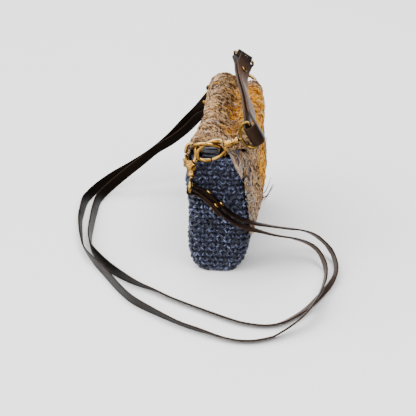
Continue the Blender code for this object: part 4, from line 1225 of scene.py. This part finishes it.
def add_stitches(look):
    """The pouch's worked stitches, left out where the flap lies on them."""
    at, total = pouch_surface()
    row, column = np.meshgrid(np.arange(STITCH_ROWS), np.arange(STITCH_COLUMNS), indexing="ij")
    row, column = row.ravel(), column.ravel()
    place, _ = at((column + 0.5 * (row % 2)) * total / STITCH_COLUMNS, STITCH_FIRST + STITCH_ROW * row)
    on_end = np.abs(place[:, 0]) > GUSSET_FROM
    on_front = place[:, 1] < 0.0
    under_flap = ~on_end & ((on_front & (place[:, 2] > COVERED_FRONT)) | (place[:, 2] > COVERED_BACK))
    near_end = place[:, 0] < NEAR_GUSSET_FROM
    groups = (("near_stitches", near_end & ~under_flap, 9, 8),
              ("other_stitches", ~near_end & ~under_flap, 6, 5))
    for name, chosen, length, sides in groups:
        lines, normals = stitch_legs(at, total, row[chosen], column[chosen], length)
        count = len(lines)
        t = np.linspace(0.0, 1.0, length)
        leg = STITCH_RADIUS * (0.45 + 0.55 * np.sin(math.pi * t) ** 0.7)
        radii = leg[None, :] * RANDOM.normal(1.0, 0.09, (count, 1))
        along = np.broadcast_to((t * 5.6)[None, :, None], (count, length, sides))
        turn = np.broadcast_to((np.arange(sides) / sides * 10.0)[None, None, :], (count, length, sides))
        seed = np.broadcast_to(RANDOM.uniform(0.0, 900.0, count)[:, None, None], (count, length, sides))
        highlight_strength = np.repeat(RANDOM.uniform(0.25, 1.0, count), length * sides)
        extra = {"yarn": np.stack([along, turn, seed], axis=-1).reshape(-1, 3), "highlight_strength": highlight_strength}
        tube_piece(name, lines, radii, normals, sides, look, extra=extra)


# Flap, on the same section as the part's source

FLAP_THICKNESS = 4.6
FLAP_HALF_WIDTH = 106.8
FLAP_FRONT_FLARE = 1.4
FLAP_BACK_HEM = 110.0
FLAP_FRONT_HEM = 44.0
FLAP_TOP = [
    # (near_y, near_z, far_y, far_z, mid_dy, mid_dz)
    (30.0, 128.0, 28.8, 131.0, -7.6, 0.0),
    (24.4, 136.0, 25.2, 141.5, -5.5, 2.5),
    (14.5, 139.0, 15.5, 146.0, -2.0, 3.0),
    (4.0, 136.0, 5.0, 144.5, 0.0, -0.5),
    (-6.0, 131.0, -4.0, 139.0, 0.0, -4.0),
    (-12.0, 130.5, -10.5, 137.0, -0.5, -4.5),
    (-19.0, 134.0, -16.5, 139.0, -1.0, -1.0),
    (-26.0, 134.0, -23.5, 138.5, -2.5, 0.5),
    (-30.0, 127.5, -28.0, 130.5, -4.5, 0.5),
]
FLAP_FRONT = [
    # (z, gap)
    (115.0, 4.4),
    (100.0, 1.6),
    (86.0, 1.0),
    (70.0, 1.0),
    (56.0, 1.2),
    (44.0, 1.0),
]
FLAP_COLUMNS = 150
FLAP_ROWS = 132
FLAP_RUFFLES = 38.0
EDGE_ROUND = 2.2


def flap_section(x):
    along = 0.5 + 0.5 * x / FLAP_HALF_WIDTH
    middle = bulge(x)
    lie = FLAP_THICKNESS / 2 + 0.5
    rows = [(wall_y(1, x, FLAP_BACK_HEM) + lie + 1.0, FLAP_BACK_HEM),
            (wall_y(1, x, 119.0) + lie + 0.4, 119.0)]
    for near_y, near_z, far_y, far_z, mid_dy, mid_dz in FLAP_TOP:
        y = near_y + (far_y - near_y) * along + mid_dy * middle
        z = near_z + (far_z - near_z) * along + mid_dz * middle
        rows.append((y + 0.6 * math.sin(x / 19.0 + y / 9.0), z + 0.7 * math.sin(x / 15.0 + y / 11.0)))
    for z, gap in FLAP_FRONT:
        low_edge = (1.0 - (z - FLAP_FRONT_HEM) / (FLAP_FRONT[0][0] - FLAP_FRONT_HEM)) ** 3
        drop = low_edge * (1.6 * math.sin(x / 13.0) + 1.1 * math.sin(x / 5.2 + 1.0))
        rows.append((wall_y(-1, x, z) - gap - FLAP_THICKNESS / 2, z + drop))
    return rows


def flap_grid():
    """The flap's middle surface as (columns, rows, 3), from the back hem to the front one."""
    grid = np.zeros((FLAP_COLUMNS + 1, FLAP_ROWS + 1, 3))
    for column in range(FLAP_COLUMNS + 1):
        part = column / FLAP_COLUMNS
        x = -FLAP_HALF_WIDTH + 2 * FLAP_HALF_WIDTH * part
        line = np.array(curve_through([(y, z, 0.0) for y, z in flap_section(x)], 2.0))[:, :2]
        along = lengths_along(line)
        at = along[-1] * np.arange(FLAP_ROWS + 1) / FLAP_ROWS
        k = np.arange(FLAP_ROWS + 1) * FLAP_RUFFLES / FLAP_ROWS
        flare = FLAP_FRONT_FLARE * np.clip((at / along[-1] - 0.5) / 0.2, 0.0, 1.0)
        edge = 0.9 * np.sin(k / 1.9) * abs(2 * part - 1.0) ** 6
        grid[column, :, 0] = x + (2 * part - 1.0) * (flare + edge)
        grid[column, :, 1] = np.interp(at, along, line[:, 0])
        grid[column, :, 2] = np.interp(at, along, line[:, 1])
    return grid


class Waves:
    """Smooth seeded unevenness over the flap, about 0 with a spread of about 1."""

    def __init__(self, size, count=14):
        angle = RANDOM.uniform(0.0, 2.0 * math.pi, count)
        pace = 2.0 * math.pi / (size * RANDOM.uniform(0.6, 1.7, count))
        self.u = np.cos(angle) * pace
        self.v = np.sin(angle) * pace
        self.phase = RANDOM.uniform(0.0, 2.0 * math.pi, count)
        self.scale = math.sqrt(2.0 / count)

    def __call__(self, u, v):
        turn = u[..., None] * self.u + v[..., None] * self.v + self.phase
        return np.sin(turn).sum(axis=-1) * self.scale


class FlapSurface:
    """The flap in millimetres: u across from the near edge, v along from the back hem."""

    def __init__(self):
        grid = flap_grid()
        self.wide = 2.0 * FLAP_HALF_WIDTH
        self.long = float(np.linalg.norm(np.diff(grid, axis=1), axis=2).sum(axis=1).mean())
        self.read = grid_reader(grid, False)
        self.lump = Waves(9.0)
        self.swell = Waves(26.0)

    def across(self, u, v):
        row = u / self.wide * FLAP_COLUMNS
        column = v / self.long * FLAP_ROWS
        return self.read(row, column)

    def at(self, u, v, out):
        """Points out millimetres off the flap's outer face. Past an edge they turn round it."""
        half = FLAP_THICKNESS / 2
        inner_u = np.clip(u, EDGE_ROUND, self.wide - EDGE_ROUND)
        inner_v = np.clip(v, EDGE_ROUND, self.long - EDGE_ROUND)
        middle, normal = self.across(inner_u, inner_v)
        over_u = np.abs(u - inner_u) / EDGE_ROUND
        over_v = np.abs(v - inner_v) / EDGE_ROUND
        ahead, _ = self.across(np.clip(inner_u + 1.0, 0.0, self.wide), inner_v)
        behind, _ = self.across(np.clip(inner_u - 1.0, 0.0, self.wide), inner_v)
        side = unit(ahead - behind) * np.sign(u - inner_u)[..., None]
        ahead, _ = self.across(inner_u, np.clip(inner_v + 1.0, 0.0, self.long))
        behind, _ = self.across(inner_u, np.clip(inner_v - 1.0, 0.0, self.long))
        down = unit(ahead - behind) * np.sign(v - inner_v)[..., None]
        over = np.clip(np.maximum(over_u, over_v), 0.0, math.pi * 0.8)
        way = np.where((over_u >= over_v)[..., None], side, down)
        face = normal * np.cos(over)[..., None] + way * np.sin(over)[..., None]
        uneven = 0.55 * self.lump(u, v) + 0.35 * self.swell(u, v)
        return middle + face * (half + uneven * 0.7 + out)[..., None], face


YARNS = {
    "taupe": ("a07850", "e0b98a", "2e1e14"),
    "grey": ("79726a", "b4aca0", "252833"),
    "gold": ("de8c0c", "ffc03c", "6a3804"),
    "peach": ("f2ae54", "ffdc98", "9c6018"),
    "pink": ("b09080", "dcc4b4", "5c463c"),
    "navy": ("20263a", "3a425c", "10131c"),
}
# Where the bands of gold lie on the flap: u from, u to, v from, v to. Then where grey and navy end
GOLD_ON_TOP = (48.0, 196.0, 62.0, 112.0)
GOLD_IN_FRONT = (70.0, 172.0, 104.0, 120.0)
FRONT_FROM = 100.0
GREY_TO = 46.0
GREY_HEM = 188.0
NAVY_TO = 60.0


def strand_tint(kind, shade):
    """Linear colours from a yarn's dark to its light. shade runs from -1 to 1."""
    middle, light, dark = (np.array(linear(code)) for code in YARNS[kind])
    shade = shade[..., None]
    return middle + np.where(shade > 0.0, (light - middle) * shade, (middle - dark) * shade)


class FlapColours:
    """Which yarn lies where: soft slanting bands of gold and grey on taupe, with some pink and navy."""

    def __init__(self):
        self.patch = Waves(34.0)
        self.small = Waves(11.0)
        self.shade = Waves(6.5)

    def weights(self, u, v):
        """How much of each yarn shows, in the order of YARNS."""
        uneven = 0.55 * self.patch(u, v) + 0.35 * self.small(u, v)

        def beyond(value, soft):
            return 1.0 / (1.0 + np.exp(-np.clip(value / soft, -30.0, 30.0)))

        low_u, high_u, low_v, high_v = GOLD_ON_TOP
        on_top = beyond(v - low_v + 7.0 * uneven, 4.0) * beyond(u - low_u + 18.0 * uneven, 7.0)
        on_top = on_top * beyond(high_u - u + 8.0 * uneven, 5.0) * beyond(high_v - v, 4.0)
        on_top = on_top * (0.75 + 0.25 * beyond(self.small(u, v * 2.0), 0.4))
        low_u, high_u, low_v, high_v = GOLD_IN_FRONT
        in_front = beyond(u - low_u + 14.0 * uneven, 5.0) * beyond(v - low_v, 3.0)
        in_front = in_front * beyond(high_v + 0.48 * u - v, 5.0) * beyond(high_u - u + 16.0 * uneven, 6.0)
        gold = np.maximum(on_top, in_front)
        front = np.clip((v - FRONT_FROM) / 12.0, 0.0, 1.0)
        grey = front * np.clip(1.0 - u / GREY_TO, 0.0, 1.0) * np.clip(0.75 + 0.6 * uneven, 0.0, 1.0) * 0.9
        grey = grey * np.clip((GREY_HEM - v) / 22.0, 0.0, 1.0)
        navy = np.clip((self.small(u * 1.7, v * 1.7) - 1.25) * 2.2, 0.0, 1.0)
        navy = navy * front * np.clip(1.2 - u / NAVY_TO, 0.0, 1.0)
        pink = np.clip((self.patch(u * 1.6 + 90.0, v * 1.6) - 1.3) * 1.5, 0.0, 1.0) * (1.0 - gold)
        peach = gold * np.clip(self.patch(u * 1.4 + 50.0, v * 1.4) - 0.5, 0.0, 1.0)
        taupe = np.clip(1.0 - gold - grey - pink - navy, 0.02, 1.0)
        return np.stack([taupe, grey, gold, peach, pink, navy], axis=-1)

    def mixed(self, u, v, shade):
        weights = self.weights(u, v)
        weights = weights / weights.sum(axis=-1, keepdims=True)
        return sum(strand_tint(kind, shade) * weights[..., k, None] for k, kind in enumerate(YARNS))

    def picked(self, u, v, shade):
        """Each strand is of one yarn, picked by the weights."""
        weights = np.cumsum(self.weights(u, v), axis=-1)
        chosen = (RANDOM.uniform(0.0, 1.0, u.shape)[..., None] * weights[..., -1:] > weights).sum(axis=-1)
        made = np.zeros(u.shape + (3,))
        for k, kind in enumerate(YARNS):
            made[chosen == k] = strand_tint(kind, shade)[chosen == k]
        return made


def add_flap_ground(surface, colours, look):
    """The flap's body: one lumpy sheet with rounded edges."""
    u = np.concatenate([[-3.2, -1.0], np.linspace(EDGE_ROUND, surface.wide - EDGE_ROUND, 131),
                        [surface.wide + 1.0, surface.wide + 3.2]])
    v = np.concatenate([[-3.2, -1.0], np.linspace(EDGE_ROUND, surface.long - EDGE_ROUND, 121),
                        [surface.long + 1.0, surface.long + 3.2]])
    u, v = np.meshgrid(u, v, indexing="ij")
    outer, _ = surface.at(u, v, np.full(u.shape, -0.2))
    middle, normal = surface.across(np.clip(u, 0.8, surface.wide - 0.8), np.clip(v, 0.8, surface.long - 0.8))
    inner = middle - normal * (FLAP_THICKNESS / 2 - 0.5)
    rows, columns = u.shape
    index = np.arange(rows * columns).reshape(rows, columns)
    a, b, c, d = index[:-1, :-1], index[1:, :-1], index[1:, 1:], index[:-1, 1:]
    front = np.stack([a, d, c, b], axis=-1).reshape(-1, 4)
    back = np.stack([a, b, c, d], axis=-1).reshape(-1, 4) + rows * columns
    rim = np.concatenate([index[:-1, 0], index[-1, :-1], index[:0:-1, -1], index[0, :0:-1]])
    after = np.roll(rim, -1)
    edge = np.stack([rim, after, after + rows * columns, rim + rows * columns], axis=-1)
    quads = np.concatenate([front, back, edge])
    points = np.concatenate([outer.reshape(-1, 3), inner.reshape(-1, 3)])
    mesh = fast_mesh("flap_ground", points, quads.ravel(), np.arange(len(quads)) * 4)
    # Painted shade: the ground takes the darker end of its yarns, standing for the shade between the strands,
    # and its inner face is darker again, the shade under the flap
    tint = colours.mixed(u, v, np.clip(-0.9 + 0.35 * colours.shade(u, v), -1.0, 0.0)).reshape(-1, 3)
    tint = np.concatenate([np.concatenate([tint, tint * 0.6]), np.ones((2 * len(tint), 1))], axis=1)
    return finished("flap_ground", mesh, look, ["flap"], {"tint": tint})


STRAND_POINTS = 10
STRAND_CURL = 1.5
STRAND_SPREAD = 1.1


def strand_lines(surface, u, v, angle, reach, length, layer, curl, swirl):
    """Wavy strands that lie on the flap and follow its swirls."""
    count = len(u)
    step = reach / (length - 1)
    places_u, places_v = [u], [v]
    phase = RANDOM.uniform(0.0, 2.0 * math.pi, count)
    pace = 2.0 * math.pi / RANDOM.uniform(5.0, 12.0, count)
    for k in range(1, length):
        turn = angle + 0.5 * swirl(u, v) + curl * np.sin(phase + k * step * pace)
        u = u + np.cos(turn) * step
        v = v + np.sin(turn) * step
        places_u.append(u)
        places_v.append(v)
    t = np.linspace(0.0, 1.0, length)[None, :]
    out = layer[:, None] * np.sin(math.pi * t) ** 0.5 + 0.35 * np.sin(phase[:, None] * 3.0 + t * 9.0) - 0.6
    return surface.at(np.stack(places_u, axis=1), np.stack(places_v, axis=1), out)


def add_strands(surface, colours, look):
    """The brushed yarn's strands, laid finer and closer along the near edge."""
    swirl = Waves(17.0)
    groups = [
        # (name, count, u_low, u_high, shortest, longest, thinnest, thickest)
        ("flap_strands_near", 3300, -3.0, 24.0, 8.0, 18.0, 0.20, 0.34),
        ("flap_strands_edge", 3350, 4.0, 100.0, 10.0, 22.0, 0.26, 0.46),
        ("flap_strands_far", 3350, 70.0, 214.0, 12.0, 26.0, 0.30, 0.54),
    ]
    made = []
    for name, count, u_low, u_high, shortest, longest, thinnest, thickest in groups:
        u = RANDOM.uniform(u_low, u_high, count)
        v = RANDOM.uniform(-2.0, surface.long + 2.0, count)
        at_edge = np.clip(1.0 - np.minimum(u, surface.wide - u) / 14.0, 0.0, 1.0)
        angle = math.radians(70.0) * (1.0 - at_edge) + math.radians(90.0) * at_edge
        angle = angle + RANDOM.normal(0.0, STRAND_SPREAD, count) * (1.0 - 0.6 * at_edge)
        angle = angle + math.pi * (RANDOM.random(count) > 0.5)
        reach = RANDOM.uniform(shortest, longest, count)
        layer = RANDOM.random(count) ** 1.6
        lines, normals = strand_lines(surface, u, v, angle, reach, STRAND_POINTS, layer, STRAND_CURL, swirl)
        t = np.linspace(0.0, 1.0, STRAND_POINTS)
        taper = 0.35 + 0.65 * np.sin(math.pi * t) ** 0.5
        radii = RANDOM.uniform(thinnest, thickest, count)[:, None] * taper
        # Partly random tone and partly painted light: strands that stand further off the flap are lighter,
        # those lying low are darker
        shade = 0.4 * colours.shade(u, v) + RANDOM.normal(0.0, 0.95, count) + 0.6 * layer - 0.25
        tint = colours.picked(u, v, np.clip(shade, -1.0, 1.0))
        made.append(tube_piece(name, lines, radii, normals, 3, look, tint=tint))
    return made


TUFT_STRANDS = 620
TUFT_GREY = 0.42
TUFT_NAVY = 0.16
# The tuft starts at this x. Behind this y and below this height it keeps outside this x
TUFT_FROM = -109.4
TUFT_CLEAR = (-112.2, -25.0, 121.0)


def add_tuft(look):
    """Loose strands that hang from the flap's near corner over the gusset's edge and back to the flap."""
    count = TUFT_STRANDS
    t = np.linspace(0.0, 1.0, 9)[None, :]
    high = RANDOM.uniform(0.0, 1.0, (count, 1)) ** 0.8
    top_y = -9.0 - 21.5 * high + RANDOM.normal(0.0, 1.2, (count, 1))
    top_z = 131.0 - 5.0 * high + RANDOM.normal(0.0, 1.5, (count, 1))
    drop = RANDOM.uniform(8.0, 30.0, (count, 1)) * (1.0 - 0.35 * high)
    low_y = np.minimum(top_y + RANDOM.normal(-1.0, 2.5, (count, 1)), -19.0 - 0.14 * drop)
    wave = RANDOM.uniform(0.0, 6.3, (count, 1))
    y = top_y + (low_y - top_y) * t ** 0.8 + 0.9 * np.sin(wave + t * RANDOM.uniform(5.0, 13.0, (count, 1)))
    z = top_z - drop * t
    x = TUFT_FROM - RANDOM.uniform(0.6, 2.6, (count, 1)) * np.sin(math.pi * t) ** 0.5 - 1.2 * t
    clear_x, clear_y, clear_z = TUFT_CLEAR
    x = np.where((z < clear_z) & (y > clear_y), np.minimum(x, clear_x), x)
    lines = np.stack([x, y, z], axis=-1)
    normals = np.broadcast_to(np.array([-1.0, 0.0, 0.0]), lines.shape)
    radii = RANDOM.uniform(0.22, 0.42, (count, 1)) * (0.35 + 0.65 * np.sin(math.pi * t) ** 0.5)
    shade = np.clip(RANDOM.normal(-0.2, 0.6, count), -1.0, 1.0)
    grey = RANDOM.random(count) < TUFT_GREY
    tint = np.where(grey[:, None], strand_tint("grey", shade), strand_tint("taupe", shade))
    navy = RANDOM.random(count) < TUFT_NAVY
    tint = np.where(navy[:, None], strand_tint("navy", shade), tint)
    return tube_piece("flap_tuft", lines, radii, normals, 4, look, tint=tint)


# Loose ends that stand away from the flap's front and hem
WISPS = [
    # (u, v, along_u, down, out, curl, radius, yarn)
    (100.0, 185.0, 4.0, 13.0, 11.0, 3.0, 0.42, "grey"),
    (102.0, 184.0, 4.0, 11.0, 12.0, 2.0, 0.36, "grey"),
    (98.0, 186.0, 2.0, 8.0, 8.0, 4.0, 0.40, "taupe"),
    (106.0, 183.0, 6.0, 15.0, 9.0, 2.0, 0.30, "grey"),
    (92.0, 188.0, 5.0, 2.0, 12.0, -2.0, 0.26, "grey"),
    (88.0, 190.0, 7.0, 0.0, 10.0, -3.0, 0.24, "taupe"),
    (60.0, 193.0, 3.0, -4.0, 3.5, 4.0, 0.34, "taupe"),
    (66.0, 194.0, -2.0, -5.0, 3.0, 5.0, 0.34, "taupe"),
    (90.0, 193.0, 4.0, -4.0, 4.0, 4.0, 0.30, "taupe"),
    (118.0, 192.0, 4.0, -3.0, 4.0, -3.0, 0.30, "grey"),
    (24.0, 192.0, -3.0, -4.0, 3.0, 3.0, 0.30, "taupe"),
    (180.0, 150.0, 6.0, 5.0, 5.0, 3.0, 0.28, "gold"),
    (170.0, 138.0, 4.0, -6.0, 4.0, 3.0, 0.28, "gold"),
    (30.0, 72.0, -6.0, 4.0, 5.0, 4.0, 0.28, "taupe"),
    (10.0, 40.0, -5.0, -4.0, 5.0, 3.0, 0.28, "taupe"),
]


def add_wisps(surface, look):
    lines, normals, radii, tint = [], [], [], []
    t = np.linspace(0.0, 1.0, 12)
    for u, v, along_u, down, out, curl, radius, yarn in WISPS:
        bend = curl * np.sin(math.pi * 1.3 * t)
        # down is how far the end rises against the flap's run, toward the top
        place_u = u + along_u * t + bend * 0.5
        place_v = v - down * t ** 1.6 + bend
        line, normal = surface.at(place_u, place_v, out * t ** 1.2 - 0.3)
        lines.append(line)
        normals.append(normal)
        radii.append(2.8 * radius * (1.0 - 0.8 * t))
        tint.append(strand_tint(yarn, np.array(-0.45)))
    lines, radii, normals = np.array(lines), np.array(radii), np.array(normals)
    return tube_piece("flap_wisps", lines, radii, normals, 4, look, tint=np.array(tint))


def add_flap():
    surface = FlapSurface()
    colours = FlapColours()
    look = fuzz_look("brushed_yarn")
    ground = add_flap_ground(surface, colours, look)
    strands = add_strands(surface, colours, look)
    strands.append(add_tuft(look))
    strands.append(add_wisps(surface, look))


def build():
    add_camera()
    add_stage()
    brass = brass_look("polished_brass", "6c4818", "b4823a", "e4b464")
    old_brass = brass_look("old_brass", "4c3814", "8a6a2c", "bc9850")
    strap = leather_look("strap_leather", "040302", "0c0806", "261912", 0.46, 0.12, "d8b8a0")
    brown = leather_look("brown_leather", "080504", "170e09", "24170f", 0.45, 0.26, "e0b088", "5c4232")
    black = leather_look("black_leather", "040405", "0a0a0c", "0e0c0c", 0.14, 0.6, "e8eaff")
    for name, ring in RINGS.items():
        add_ring(name, ring, brass)
        add_tab(name, ring, black)
    for name in CLASPS:
        add_clasp(name, brass, old_brass)
    add_crossbody_strap(strap, brass)
    add_handle(brown, brass)
    navy = yarn_look()
    add_pouch_ground(navy)
    add_stitches(navy)
    add_rim(navy)
    add_flap()


build()
